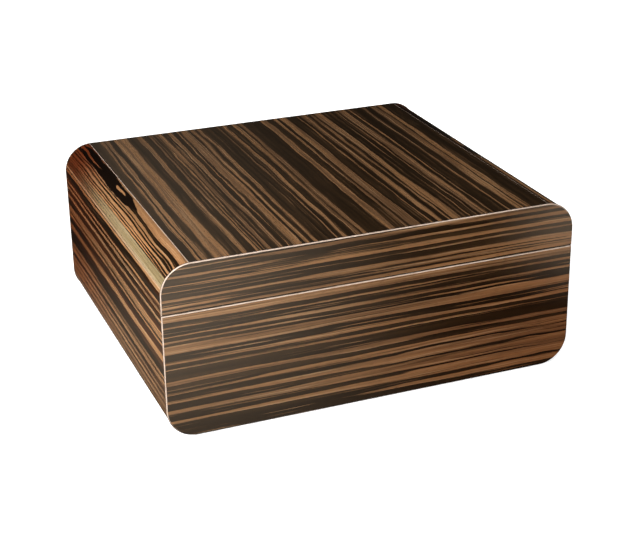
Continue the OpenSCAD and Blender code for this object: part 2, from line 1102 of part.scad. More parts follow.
module humidifier_foam() {
    color("seagreen")
        under_lid(hum_x)
            board(hum_in_w / 2 - shutter_fit, hum_in_d / 2 - shutter_fit, case_back, case_back + foam_h);
}

// Two rows of vent slots, shifted along X.
module vents(shift) {
    for (i = [1 : vent_n], side = [-1, 1])
        translate([(i - (vent_n + 1) / 2) * vent_pitch + shift, side * vent_y, 0])
            block(-vent_w / 2, vent_w / 2, -vent_d / 2, vent_d / 2, 0, hum_face + grille_t + over);
}

// Cover with the vents and an opening for the thumb rib of the shutter.
module humidifier_grille() {
    color("dimgray")
        under_lid(hum_x)
            difference() {
                board(hum_w / 2, hum_d / 2, hum_face, hum_face + grille_t);
                vents(shutter_travel / 2);
                block(
                    -shutter_travel / 2 - thumb_w - shutter_fit,
                    shutter_travel / 2 + thumb_w + shutter_fit,
                    -thumb_d / 2 - shutter_fit, thumb_d / 2 + shutter_fit,
                    hum_face - over, hum_face + grille_t + over
                );
            }
}

module humidifier_shutter() {
    color("gray")
        under_lid(hum_x)
            translate([-shutter_travel / 2, 0, 0]) {
                difference() {
                    board(shutter_w / 2, shutter_d / 2, shutter_face - shutter_t, shutter_face);
                    vents(0);
                }
                board(thumb_w, thumb_d / 2, shutter_face - shutter_t, hum_face + grille_t + thumb_h);
            }
}

module hygrometer_case() {
    color("gold")
        under_lid(gauge_x)
            difference() {
                disc(gauge_r, plate_t, gauge_face);
                magnet_pocket();
                disc(dial_r - gauge_wall, case_back, gauge_face + over);
                disc(dial_r, dial_seat, gauge_face + over);
                disc(glass_r, glass_back, gauge_face + over);
                disc(spindle_r, case_back - gauge_wall / 4, case_back + over);
            }
}

module hygrometer_dial() {
    color("ivory")
        under_lid(gauge_x)
            difference() {
                disc(dial_r - gauge_fit, dial_seat, dial_seat + dial_t);
                disc(spindle_r + gauge_fit, dial_seat - over, dial_seat + dial_t + over);
            }
}

module hygrometer_spindle() {
    color("silver")
        under_lid(gauge_x)
            disc(spindle_r, case_back - gauge_wall / 4, needle_back + needle_t + gauge_fit);
}

// Needle with a round hub, pointing towards the front of the box.
module hygrometer_needle() {
    color("darkred")
        under_lid(gauge_x)
            difference() {
                union() {
                    disc(hub_r, needle_back, needle_back + needle_t);
                    translate([0, 0, needle_back])
                        linear_extrude(needle_t)
                            polygon([
                                [-needle_w, hub_r * 2],
                                [needle_w, hub_r * 2],
                                [needle_w / 4, -needle_len],
                                [-needle_w / 4, -needle_len]
                            ]);
                }
                disc(spindle_r + spindle_fit, needle_back - over, needle_back + over);
            }
}

module hygrometer_glass() {
    color("lightcyan")
        under_lid(gauge_x)
            disc(glass_r - gauge_fit, glass_back, gauge_face);
}

// Bezel: a skirt around the case and a rounded lap over the glass.
module hygrometer_bezel() {
    skirt_r = gauge_r + gauge_fit;
    color("gold")
        under_lid(gauge_x)
            rotate_extrude() {
                translate([dial_r - bezel_lap, gauge_face])
                    square([skirt_r - dial_r + bezel_lap, bezel_t]);
                translate([skirt_r, gauge_face / 2])
                    square([bezel_t, gauge_face / 2]);
                translate([skirt_r, gauge_face])
                    intersection() {
                        circle(bezel_t);
                        square(bezel_t);
                    }
            }
}

base_felt();
base_floor_panel();
base_left_side();
base_right_side();
base_left_corner();
base_right_corner();
base_front_board();
base_back_board();
base_front_sheet();
base_back_sheet();
base_floor_liner();
base_front_liner();
base_back_liner();
base_left_liner();
base_right_liner();
front_tray_rail();
back_tray_rail();
left_base_leaf();
right_base_leaf();
hinge_pins();
base_leaf_screws();
left_stay();
right_stay();
tray_front();
tray_back();
tray_left();
tray_right();
tray_floor();
tray_divider();
base_divider();
lid_top_panel();
lid_left_side();
lid_right_side();
lid_left_corner();
lid_right_corner();
lid_front_board();
lid_back_board();
lid_front_sheet();
lid_back_sheet();
lid_top_liner();
lid_front_liner();
lid_back_liner();
lid_left_liner();
lid_right_liner();
left_lid_leaf();
right_lid_leaf();
lid_leaf_screws();
lid_plates();
device_magnets();
humidifier_case();
humidifier_foam();
humidifier_grille();
humidifier_shutter();
hygrometer_case();
hygrometer_dial();
hygrometer_spindle();
hygrometer_needle();
hygrometer_glass();
hygrometer_bezel();
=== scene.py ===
"""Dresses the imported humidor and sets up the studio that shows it, closed, from its front left.

The CAD nodes, and the pieces that replace some of them, get striped veneer under lacquer, cedar, brass,
felt, foam and plastic. The hygrometer gets its print.
"""

import logging
import math
from dataclasses import dataclass
from enum import Enum
from functools import partial, reduce
from typing import Iterable, Sequence, Union

import bmesh
import bpy
from mathutils import Matrix, Vector


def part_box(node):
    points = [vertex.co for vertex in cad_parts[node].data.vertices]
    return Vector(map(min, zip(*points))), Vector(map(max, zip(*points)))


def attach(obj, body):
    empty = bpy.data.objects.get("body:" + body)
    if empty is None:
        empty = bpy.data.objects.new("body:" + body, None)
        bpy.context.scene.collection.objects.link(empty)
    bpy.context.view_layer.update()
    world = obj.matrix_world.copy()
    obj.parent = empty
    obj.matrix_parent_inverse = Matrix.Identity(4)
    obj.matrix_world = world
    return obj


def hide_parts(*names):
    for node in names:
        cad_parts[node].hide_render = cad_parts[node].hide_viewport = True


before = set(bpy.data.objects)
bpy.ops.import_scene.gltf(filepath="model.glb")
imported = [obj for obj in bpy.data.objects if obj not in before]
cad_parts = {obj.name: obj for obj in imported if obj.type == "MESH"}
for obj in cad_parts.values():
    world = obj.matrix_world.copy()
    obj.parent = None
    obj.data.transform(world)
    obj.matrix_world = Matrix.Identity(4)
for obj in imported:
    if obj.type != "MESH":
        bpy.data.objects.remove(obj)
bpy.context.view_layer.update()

MM = 0.001
NEAR = 1e-6
LOG = logging.getLogger("humidor")

Socket = bpy.types.NodeSocket
Value = Union[float, Socket]
Colour = tuple[float, float, float]
Place = tuple[float, float, float]
Pair = tuple[float, float]
Band = tuple[float, float]
WHITE: Colour = (1.0, 1.0, 1.0)


class Axis(Enum):
    """A direction of the box."""

    X = 0
    Y = 1
    Z = 2


class Slot(str, Enum):
    """The record's material slots, passed along with the new pieces."""

    VENEER = "veneer"
    CORNER = "corner_veneer"
    FELT = "felt"
    FOAM = "foam"
    BRASS = "brass"
    DIAL = "dial"


class Nodes:
    """Builds a node tree step by step."""

    def __init__(self, tree: bpy.types.NodeTree) -> None:
        """Starts on a tree."""
        self.tree = tree

    def node(self, kind: str, values: dict | None = None, **settings: object) -> bpy.types.Node:
        """Adds a node.

        Args:
            kind: Blender's name of the node type.
            values: Numbers, colours or sockets by input name or index.
            **settings: Properties of the node itself.

        Returns:
            The new node.
        """
        made = self.tree.nodes.new(kind)
        for key, setting in settings.items():
            setattr(made, key, setting)
        for key, value in (values or {}).items():
            if isinstance(value, Socket):
                self.tree.links.new(value, made.inputs[key])
            else:
                made.inputs[key].default_value = value
        return made

    def math(self, operation: str, *values: Value) -> Socket:
        """Returns the socket of one arithmetic step on numbers or sockets."""
        return self.node("ShaderNodeMath", dict(enumerate(values)), operation=operation).outputs[0]

    def total(self, *values: Value) -> Socket:
        """Returns the sum of two or more values."""
        return reduce(partial(self.math, "ADD"), values)

    def times(self, *values: Value) -> Socket:
        """Returns the product of two or more values."""
        return reduce(partial(self.math, "MULTIPLY"), values)

    def away(self, value: Socket, spot: float = 0.0) -> Socket:
        """Returns the distance of a value from a spot."""
        return self.math("ABSOLUTE", self.math("SUBTRACT", value, spot))

    def swing(self, noise: Socket, reach: float) -> Socket:
        """Returns a noise of 0 to 1 as an offset of up to reach on both sides of 0."""
        return self.math("MULTIPLY_ADD", noise, 2 * reach, -reach)

    def smooth(self, value: Value, low: float, high: float, to_low: float = 0.0,
               to_high: float = 1.0) -> Socket:
        """Returns the value eased from low to high, as to_low to to_high."""
        ends = {"Value": value, "From Min": low, "From Max": high, "To Min": to_low, "To Max": to_high}
        return self.node("ShaderNodeMapRange", ends, interpolation_type="SMOOTHSTEP").outputs[0]


class Graph(Nodes):
    """Builds the node tree of one material, in millimetres on the Object coordinates."""

    def __init__(self, name: str) -> None:
        """Starts a material with a Principled surface.

        Args:
            name: Name of the material.
        """
        self.material = bpy.data.materials.new(name)
        self.material.use_nodes = True
        super().__init__(self.material.node_tree)
        self.shader = self.tree.nodes["Principled BSDF"]
        place = self.node("ShaderNodeTexCoord").outputs["Object"]
        grown = self.node("ShaderNodeVectorMath", {0: place, "Scale": 1 / MM}, operation="SCALE").outputs[0]
        self.axes: tuple[Socket, ...] = tuple(self.node("ShaderNodeSeparateXYZ", {0: grown}).outputs)

    def noise(self, place: Sequence[Value], detail: float = 2.0, rough: float = 0.5) -> Socket:
        """Adds a noise whose coordinates are already divided by its grain sizes.

        Args:
            place: Three coordinates.
            detail: Number of finer layers.
            rough: Strength of the finer layers.

        Returns:
            The socket of its factor.
        """
        spot = self.node("ShaderNodeCombineXYZ", dict(enumerate(place))).outputs[0]
        values = {"Vector": spot, "Scale": 1.0, "Detail": detail, "Roughness": rough}
        return self.node("ShaderNodeTexNoise", values).outputs[0]

    def specks(self, sizes: Sequence[float], detail: float = 2.0, rough: float = 0.5) -> Socket:
        """Returns noise with its own grain size along each axis, in millimetres."""
        place = [self.math("DIVIDE", axis, size) for axis, size in zip(self.axes, sizes)]
        return self.noise(place, detail, rough)

    def clouds(self, size: float, detail: float = 2.0, rough: float = 0.5) -> Socket:
        """Returns noise with the same grain size in all directions, in millimetres."""
        return self.specks((size,) * len(self.axes), detail, rough)

    def streaks(self, across: Socket, along: Socket, width: float, length: float, seed: float,
                detail: float = 2.0) -> Socket:
        """Adds noise drawn out along the grain.

        Args:
            across: Coordinate across the grain.
            along: Coordinate along the grain.
            width: Width of a streak in millimetres.
            length: Length of a streak in millimetres.
            seed: Separates one layer of streaks from another.
            detail: Number of finer layers.

        Returns:
            The socket of its factor.
        """
        place = (self.math("DIVIDE", across, width), self.math("DIVIDE", along, length), seed)
        return self.noise(place, detail)

    def mix(self, factor: Value, first: Colour | Socket, second: Colour | Socket,
            blend: str = "MIX") -> Socket:
        """Mixes two colours.

        Args:
            factor: Share of the second.
            first: Colour or socket.
            second: Colour or socket.
            blend: Blend mode.

        Returns:
            The socket of the mixed colour.
        """
        pair = [c if isinstance(c, Socket) else (*c, 1.0) for c in (first, second)]
        values = {0: factor, 6: pair[0], 7: pair[1]}
        return self.node("ShaderNodeMix", values, data_type="RGBA", blend_type=blend).outputs[2]

    def shade(self, colour: Socket, strength: Socket) -> Socket:
        """Returns a colour multiplied by a grey strength."""
        return self.mix(1.0, colour, strength, "MULTIPLY")

    def bump(self, height: Socket, depth: float, target: str = "Normal") -> None:
        """Lays a relief on the surface.

        Args:
            height: Socket of 0 to 1.
            depth: Depth of the relief in millimetres.
            target: Normal of the surface or of its coat.
        """
        relief = self.node("ShaderNodeBump", {"Strength": 1.0, "Distance": depth * MM, "Height": height})
        self.tree.links.new(relief.outputs[0], self.shader.inputs[target])

    def surface(self, colour: Socket, roughness: Value, **uniform: float) -> None:
        """Finishes the Principled surface.

        Args:
            colour: Socket of the base colour.
            roughness: Number or socket.
            **uniform: Values that are the same all over, by socket name with _ for a space.
        """
        self.tree.links.new(colour, self.shader.inputs["Base Color"])
        if isinstance(roughness, Socket):
            self.tree.links.new(roughness, self.shader.inputs["Roughness"])
        else:
            self.shader.inputs["Roughness"].default_value = roughness
        for key, value in uniform.items():
            self.shader.inputs[key.replace("_", " ")].default_value = value


@dataclass(frozen=True)
class Finish:
    """One finish of the box, made once and shared."""

    name: str

    def build(self, g: Graph) -> None:
        """Draws the finish in the node tree."""
        raise NotImplementedError

    def material(self) -> bpy.types.Material:
        """Makes the finish's material the first time, and finds it again later.

        Returns:
            The material.
        """
        found = bpy.data.materials.get(f"{self.name}_finish")
        if found is None:
            g = Graph(f"{self.name}_finish")
            self.build(g)
            found = g.material
        return found


@dataclass(frozen=True)
class Veneer(Finish):
    """Striped ebony veneer under gloss lacquer, with its light bands in millimetres from the start line."""

    across: Axis
    along: Axis
    start: float
    heading: int
    light: tuple[Band, ...]
    seed: float = 0.0
    lean: float = 0.0
    sway: float = 2.2
    sway_length: float = 240.0
    waver: float = 1.0
    waver_length: float = 62.0
    ripple: float = 0.8
    ripple_length: float = 27.0
    lines: float = 1.7
    blush: tuple[float, float, float] = (0.0, 100.0, 0.0)
    bias: float = -0.2
    grit: float = 0.8
    fine: float = 1.0
    soft: float = 0.13
    hairlines: float = 1.0
    black: Colour = (0.0090, 0.0046, 0.0019)
    umber: Colour = (0.021, 0.0110, 0.0046)
    brown: Colour = (0.080, 0.040, 0.0180)
    amber: Colour = (0.146, 0.073, 0.0310)
    cream: Colour = (0.240, 0.150, 0.080)
    ember: Colour = (1.0, 0.55, 0.36)

    REACH = 8.0
    STOPS = 15

    def run(self, g: Graph) -> tuple[Socket, Socket]:
        """Returns the coordinates across and along the grain, in millimetres."""
        across, along = g.axes[self.across.value], g.axes[self.along.value]
        return g.math("MULTIPLY_ADD", across, float(self.heading), -self.heading * self.start), along

    def level(self, distance: float) -> float:
        """Returns a signed distance from the nearest edge of a band as a grey of a ramp."""
        return min(1.0, max(0.0, 0.5 + distance / (2 * self.REACH)))

    def ramp(self, g: Graph, across: Socket, run: Sequence[Band]) -> Socket:
        """Draws one run of the distance field.

        Args:
            g: Node tree.
            across: Coordinate across the grain.
            run: Place and distance of each turning point, in order.

        Returns:
            The socket of its grey.
        """
        low, high = run[0][0], run[-1][0]
        place = g.node("ShaderNodeMapRange", {"Value": across, "From Min": low, "From Max": high}).outputs[0]
        drawn = g.node("ShaderNodeValToRGB", {0: place})
        stops = drawn.color_ramp.elements
        for spot, _ in run[1:-1]:
            stops.new((spot - low) / (high - low))
        for stop, (_, distance) in zip(stops, run):
            stop.color = (self.level(distance),) * 3 + (1.0,)
        return drawn.outputs[0]

    def stripes(self, g: Graph, across: Socket) -> Socket:
        """Draws the light bands as a distance field, in runs of a few ramps.

        Args:
            g: Node tree.
            across: Coordinate across the grain.

        Returns:
            The distance to the nearest edge of a band, positive inside a light one.
        """
        edges = [edge for band in self.light for edge in band]
        edges = [edges[0] - self.REACH, *edges, edges[-1] + self.REACH]
        peaks = [((low + high) / 2, (high - low) / 2 * (1 if i % 2 else -1))
                 for i, (low, high) in enumerate(zip(edges, edges[1:]))]
        runs = [peaks[i:i + self.STOPS + 1] for i in range(0, len(peaks) - 1, self.STOPS)]
        depth = self.ramp(g, across, runs[0])
        for run in runs[1:]:
            past = g.math("GREATER_THAN", across, run[0][0])
            parts = {0: past, 2: depth, 3: self.ramp(g, across, run)}
            depth = g.node("ShaderNodeMix", parts, data_type="FLOAT").outputs[0]
        return g.swing(depth, self.REACH)

    def unrest(self, g: Graph, across: Socket, along: Socket) -> Value:
        """Returns how much more the stripes waver here than elsewhere; plain veneer is even."""
        return 1.0

    def swell(self, g: Graph, across: Socket, along: Socket) -> Value:
        """Returns how far the edges of the light bands move outwards, in millimetres; here they stay."""
        return 0.0

    def flush(self, g: Graph, across: Socket, along: Socket) -> Socket:
        """Returns the share of the red blush, which grows along the grain."""
        near, far, share = self.blush
        return g.smooth(along, near, far, 0.0, share)

    def figure(self, g: Graph, across: Socket, along: Socket, wood: Socket) -> Socket:
        """Returns the wood with its wild figure; plain striped veneer has none."""
        return wood

    def light_wood(self, g: Graph, place: Socket, along: Socket, swell: Value) -> Socket:
        """Draws where the wood is light: the bands, with ragged edges, dark scores and thin bright threads.

        Args:
            g: Node tree.
            place: Coordinate across the wavering grain.
            along: Coordinate along it.
            swell: How far the bands' edges move outwards.

        Returns:
            The share of light wood.
        """
        seed, fine = self.seed, self.fine
        edge = g.swing(g.streaks(place, along, 1.1 * fine, 120, seed + 2.7, 3 / fine ** 3), self.lines)
        ragged = g.swing(g.streaks(place, along, 0.4 * fine, 17, seed + 3.1), 0.4 * self.grit)
        depth = g.total(self.stripes(g, place), edge, ragged, swell)
        broad = g.smooth(depth, -self.soft - self.bias, self.soft - self.bias)
        scores = g.streaks(place, along, 0.55 * fine, 110, seed + 9.6, 1)
        inked = g.smooth(scores, 0.60, 0.67, 1.0, 1 - 0.75 * self.hairlines)
        threads = g.streaks(place, along, 0.6 * fine, 90, seed + 10.4, 1)
        glint = g.smooth(threads, 0.65, 0.71, 0.0, 0.55 * self.hairlines)
        return g.math("MAXIMUM", g.times(broad, inked), glint)

    def build(self, g: Graph) -> None:
        """Draws stripes, fine lines, fibre and pores below a clear coat.

        Args:
            g: Node tree.
        """
        across, along = self.run(g)
        seed, fine = self.seed, self.fine
        sway = g.swing(g.streaks(across, along, 60, self.sway_length, seed, 1), self.sway)
        waver = g.swing(g.streaks(across, along, 10, self.waver_length, seed + 1.3), self.waver)
        ripple = g.swing(g.streaks(across, along, 5, self.ripple_length, seed + 1.9, 1), self.ripple)
        drift = g.times(g.total(waver, ripple), self.unrest(g, across, along))
        place = g.total(across, sway, drift, g.times(along, self.lean))
        light = self.light_wood(g, place, along, self.swell(g, across, along))

        warmth = g.smooth(g.streaks(place, along, 4.5, 260, seed + 4.2), 0.36, 0.62)
        pale = g.smooth(g.streaks(place, along, 0.8 * fine, 120, seed + 5.9, 3 / fine), 0.52, 0.72)
        tan = g.mix(g.times(pale, 0.6), g.mix(warmth, self.brown, self.amber), self.cream)
        smoke = g.smooth(g.streaks(place, along, 1.7 * fine, 170, seed + 6.4, 3 / fine), 0.40, 0.70)
        dark = g.mix(smoke, self.black, self.umber)
        wood = self.figure(g, across, along, g.mix(light, dark, tan))
        wood = g.mix(self.flush(g, across, along), wood, g.mix(1.0, wood, self.ember, "MULTIPLY"))

        fibre = g.streaks(place, along, 0.16 * fine, 7 * fine, seed + 7.7)
        pits = g.streaks(place, along, 0.32 * fine, 4.2 * fine, seed + 8.8, 0)
        pores = g.smooth(pits, 0.66, 0.74, 1.0, 1 - 0.5 * self.grit)
        sheen = g.smooth(fibre, 0.25, 0.75, 1 - 0.22 * self.grit, 1 + 0.2 * self.grit)
        g.surface(g.shade(wood, g.times(sheen, pores)), g.smooth(fibre, 0.3, 0.7, 0.34, 0.5),
                  Coat_Weight=1.0, Coat_Roughness=0.035, Coat_IOR=1.5, Specular_IOR_Level=0.0)
        g.bump(g.times(fibre, pores), 0.005 * self.grit ** 2)
        g.bump(g.clouds(7.0, 1), 0.012, "Coat Normal")


@dataclass(frozen=True)
class FrontVeneer(Veneer):
    """Veneer of the front and back, whose bands open out to the right and grow wild at the lower right."""

    lower: Band = (78.0, 98.0)
    opening: Band = (-0.7, 1.4)
    opening_run: Band = (-130.0, 130.0)
    lid: Band = (36.0, 30.0)
    lid_opening: Band = (-0.2, 0.5)
    lid_run: Band = (-90.0, 120.0)
    wild: float = 1.7
    wild_run: Band = (30.0, 130.0)
    reddened: Band = (22.0, 80.0)
    lid_red: float = 0.25

    def flush(self, g: Graph, across: Socket, along: Socket) -> Socket:
        """Returns the share of the red blush, faint on the lid and full low on the base."""
        return g.times(super().flush(g, across, along), g.smooth(across, *self.reddened, self.lid_red))

    def unrest(self, g: Graph, across: Socket, along: Socket) -> Value:
        """Returns the unrest of the stripes, greatest at the lower right."""
        right = g.smooth(along, *self.wild_run, 0.0, self.wild)
        return g.total(g.times(right, g.smooth(across, *self.lower)), 1.0)

    def swell(self, g: Graph, across: Socket, along: Socket) -> Value:
        """Widens the bands to the right, on the lid and low on the base.

        Args:
            g: Node tree.
            across: Coordinate across the grain.
            along: Coordinate along it.

        Returns:
            The bands' change of half width, in millimetres.
        """
        base = g.times(g.smooth(along, *self.opening_run, *self.opening), g.smooth(across, *self.lower))
        lid = g.times(g.smooth(along, *self.lid_run, *self.lid_opening), g.smooth(across, *self.lid))
        return g.total(base, lid)


@dataclass(frozen=True)
class SideVeneer(Veneer):
    """Veneer of a side wall, with a pale painted highlight along the seams with the corner mouldings."""

    middle: float = 63.0
    seam_highlight_starts: Band = (45.8, 46.1)
    seam_highlight_share: float = 0.85
    seam_highlight: Colour = (0.36, 0.245, 0.145)

    def figure(self, g: Graph, across: Socket, along: Socket, wood: Socket) -> Socket:
        """Returns the wood with its two pale seam lines, which are painted highlight."""
        height = g.away(g.axes[2], self.middle)
        # Pale lines along both seams: a painted highlight.
        return g.mix(g.smooth(height, *self.seam_highlight_starts, 0.0, self.seam_highlight_share), wood, self.seam_highlight)


@dataclass(frozen=True)
class BentVeneer(Veneer):
    """Veneer bent round a long edge, with its bands round the arc from the flat panel to the side wall."""

    middle: Pair = (129.0, 104.0)
    radius: float = 21.0
    centre: float = 63.0
    waist: float = 2.0
    narrow: float = -0.3
    narrow_run: Band = (-50.0, -115.0)
    flame_at: float = 6.2
    flame_half: float = 4.6
    flame_tip: Band = (-32.0, 2.0)
    flame_end: Band = (134.0, 110.0)
    flame_bends: tuple[float, float, float] = (7.0, 36.0, 2.6)
    tongue_at: float = 0.6
    tongue_half: Band = (-0.7, 0.75)
    tongue_run: Band = (48.0, 96.0)
    eye_at: Pair = (-1.1, 18.0)
    eye_size: Pair = (1.2, 12.0)
    edge: Band = (0.3, -0.3)
    # Where the painted reflection beside the side wall starts, how it fades towards the back, and its
    # strength.
    reflection_from: Band = (19.9, 20.6)
    reflection_run: Band = (110.0, -50.0)
    reflection_share: float = 0.85
    # Where the painted shade on the right-hand corners starts and ends round the arc.
    right_shade_at: Band = (4.5, 3.0)
    char: Colour = (0.0042, 0.0020, 0.0012)
    # Colours of the painted reflection beside the side wall, mixed in veins.
    olive: Colour = (0.170, 0.126, 0.058)
    straw: Colour = (0.270, 0.215, 0.125)

    def run(self, g: Graph) -> tuple[Socket, Socket]:
        """Measures round the arc and along the box, in the same way in all four corners.

        Args:
            g: Node tree.

        Returns:
            The way round the arc and the way along the box, in millimetres.
        """
        outward = g.math("SUBTRACT", g.away(g.axes[0]), self.middle[0])
        rise = g.math("SUBTRACT", g.away(g.axes[2], self.centre), self.middle[1] - self.centre)
        return g.times(g.math("ARCTAN2", outward, rise), self.radius), g.axes[1]

    def above(self, g: Graph, low: float, high: float) -> Socket:
        """Returns one value on the lower corners and another on the upper ones."""
        return g.smooth(g.axes[2], self.centre - self.waist, self.centre + self.waist, low, high)

    def swell(self, g: Graph, across: Socket, along: Socket) -> Value:
        """Returns the bands' change of half width: they narrow at the box's foot and towards the front."""
        foot = self.above(g, self.narrow / 2, 0.0)
        return g.math("MINIMUM", foot, g.smooth(along, *self.narrow_run, 0.0, self.narrow))

    def flame(self, g: Graph, across: Socket, along: Socket) -> tuple[Socket, Socket]:
        """Draws a black flame that points to the front, with a light tongue and a light eye in it.

        Args:
            g: Node tree.
            across: Way round the arc.
            along: Way along the box.

        Returns:
            The share of the flame and its colour.
        """
        width, length, reach = self.flame_bends
        warp = g.swing(g.streaks(across, along, width, length, self.seed + 20.0, 2), reach)
        bent = g.total(across, warp, -self.flame_at)
        half = g.times(g.smooth(along, *self.flame_tip, 0.0, self.flame_half),
                       g.smooth(along, *self.flame_end))
        share = g.smooth(g.math("SUBTRACT", g.away(bent), half), *self.edge)
        tongue_half = g.smooth(along, *self.tongue_run, *self.tongue_half)
        tongue = g.smooth(g.math("SUBTRACT", g.away(bent, self.tongue_at), tongue_half), *self.edge)
        parts = [g.math("POWER", g.math("DIVIDE", g.total(way, -at), size), 2.0)
                 for way, at, size in zip((bent, along), self.eye_at, self.eye_size)]
        spared = g.math("MAXIMUM", tongue, g.smooth(g.total(*parts), 1.2, 0.7))
        return share, g.mix(spared, self.char, self.amber)

    def figure(self, g: Graph, across: Socket, along: Socket, wood: Socket) -> Socket:
        """Adds the flame beside the flat panel, with painted shade beside it on the right-hand corners, and
        a pale olive band beside the side wall on the upper corners, a painted reflection with wood veins
        that fades towards the back.

        Args:
            g: Node tree.
            across: Way round the arc.
            along: Way along the box.
            wood: Colour of the striped wood.

        Returns:
            The colour with both.
        """
        burnt, black = self.flame(g, across, along)
        # Painted shade: the right-hand corners darken to umber beside the flat panel.
        right_shade = g.times(g.smooth(g.axes[0], -self.waist, self.waist), g.smooth(across, *self.right_shade_at))
        marked = g.mix(burnt, g.mix(right_shade, wood, self.umber), black)
        # Painted reflection: a pale olive veil with veins on the upper corners beside the side wall, fading
        # towards the back.
        plain = g.times(g.smooth(across, *self.reflection_from), self.above(g, 0.0, self.reflection_share),
                        g.smooth(along, *self.reflection_run, 0.1))
        veins = g.smooth(g.streaks(across, along, 1.3, 150, self.seed + 30.0, 2), 0.35, 0.65)
        return g.mix(plain, marked, g.mix(veins, self.olive, self.straw))


@dataclass(frozen=True)
class BareWood(Finish):
    """Planed wood with straight grain, growth bands and open pores."""

    grain: Axis
    pale: Colour = (0.40, 0.205, 0.097)
    deep: Colour = (0.275, 0.122, 0.053)
    pore: Colour = (0.165, 0.070, 0.031)
    roughness: Pair = (0.55, 0.75)
    coat: float = 0.0

    def build(self, g: Graph) -> None:
        """Draws bands, streaks and pores along the grain.

        Args:
            g: Node tree.
        """

        def layer(width: float, length: float, seed: float, detail: float) -> Socket:
            """Returns noise of one width across the grain and one length along it."""
            sizes = [length if axis is self.grain else width for axis in Axis]
            return g.noise([g.math("MULTIPLY_ADD", way, 1 / size, seed) for way, size in zip(g.axes, sizes)],
                           detail)

        board = g.smooth(layer(75, 190, 3.0, 1), 0.35, 0.65)
        bands = g.smooth(layer(5.5, 230, 11.0, 3), 0.34, 0.66)
        streak = g.smooth(layer(1.1, 90, 23.0, 3), 0.3, 0.7)
        pores = g.smooth(layer(0.42, 8.5, 37.0, 0), 0.64, 0.72)
        share = g.total(g.times(bands, 0.5), g.times(streak, 0.3), g.times(board, 0.2))
        wood = g.mix(share, self.deep, self.pale)
        g.surface(g.mix(g.times(pores, 0.7), wood, self.pore), g.smooth(streak, 0.0, 1.0, *self.roughness),
                  Coat_Weight=self.coat, Coat_Roughness=0.2, Specular_IOR_Level=0.3)
        g.bump(g.math("SUBTRACT", g.times(streak, 0.4), pores), 0.05)


@dataclass(frozen=True)
class Metal(Finish):
    """Polished metal with a faint brushing, cloudy tarnish and uneven gloss."""

    bright: Colour
    tarnish: Colour
    gloss: Pair = (0.14, 0.32)

    def build(self, g: Graph) -> None:
        """Draws clouds of tarnish and brush marks.

        Args:
            g: Node tree.
        """
        clouds = g.smooth(g.clouds(9.0, 4, 0.6), 0.35, 0.75)
        marks = g.specks((14.0, 0.3, 0.3))
        dullness = g.total(g.times(clouds, 0.6), g.times(marks, 0.4))
        g.surface(g.mix(clouds, self.bright, self.tarnish), g.smooth(dullness, 0.1, 0.8, *self.gloss),
                  Metallic=1.0)
        g.bump(marks, 0.008)


@dataclass(frozen=True)
class Plastic(Finish):
    """Moulded plastic with a fine spark-eroded skin."""

    colour: Colour
    worn: Colour

    def build(self, g: Graph) -> None:
        """Draws the pitted skin and a slight bloom.

        Args:
            g: Node tree.
        """
        pits = g.clouds(0.45, 2)
        bloom = g.smooth(g.clouds(22.0, 3), 0.35, 0.7)
        g.surface(g.mix(bloom, self.colour, self.worn), g.smooth(pits, 0.3, 0.7, 0.36, 0.52))
        g.bump(pits, 0.03)


@dataclass(frozen=True)
class Nap(Finish):
    """Felt: matted fibres with a soft sheen and cloudy depth."""

    deep: Colour
    raised: Colour

    def build(self, g: Graph) -> None:
        """Draws matted fibres in two sizes, darker where the relief is low: painted shade between the fibres
        over the felt's own cloudy tone.

        Args:
            g: Node tree.
        """
        fibres = g.specks((0.5, 0.35, 0.4), 4, 0.7)
        clumps = g.clouds(4.0, 3, 0.6)
        height = g.total(g.times(fibres, 0.6), g.times(clumps, 0.4))
        # Lower parts are darker: painted shade between the fibres, mixed with the felt's own cloudy tone.
        g.surface(g.mix(g.smooth(height, 0.35, 0.65), self.deep, self.raised), 0.95, Sheen_Weight=0.35,
                  Sheen_Roughness=0.5, Specular_IOR_Level=0.1)
        g.bump(height, 0.25)


@dataclass(frozen=True)
class OpenCells(Finish):
    """Wet floral foam: small open cells between thin webs."""

    web: Colour
    cell: Colour

    def build(self, g: Graph) -> None:
        """Draws the cells and their webs; the cells' dark colour is painted shade in their hollows.

        Args:
            g: Node tree.
        """
        spot = g.node("ShaderNodeCombineXYZ", dict(enumerate(g.axes))).outputs[0]
        cells = g.node("ShaderNodeTexVoronoi", {"Vector": spot, "Scale": 0.9, "Randomness": 1.0},
                       feature="DISTANCE_TO_EDGE").outputs[0]
        # The dark cells are painted shade in the foam's hollows.
        depth = g.smooth(cells, 0.02, 0.35)
        mottle = g.clouds(6.0, 3)
        colour = g.shade(g.mix(depth, self.web, self.cell), g.smooth(mottle, 0.3, 0.7, 0.75, 1.15))
        g.surface(colour, 0.85, Specular_IOR_Level=0.2)
        g.bump(g.math("SUBTRACT", 1.0, depth), 0.4)


@dataclass(frozen=True)
class Paint(Finish):
    """Matt paint or ink with a faint mottle and brushed ground."""

    colour: Colour
    mottle: Colour
    roughness: Pair = (0.42, 0.6)

    def build(self, g: Graph) -> None:
        """Draws the mottle and a fine tooth.

        Args:
            g: Node tree.
        """
        clouds = g.clouds(5.0, 4, 0.6)
        tooth = g.clouds(0.25, 1)
        g.surface(g.mix(g.smooth(clouds, 0.35, 0.7), self.colour, self.mottle),
                  g.smooth(tooth, 0.3, 0.7, *self.roughness))
        g.bump(tooth, 0.006)


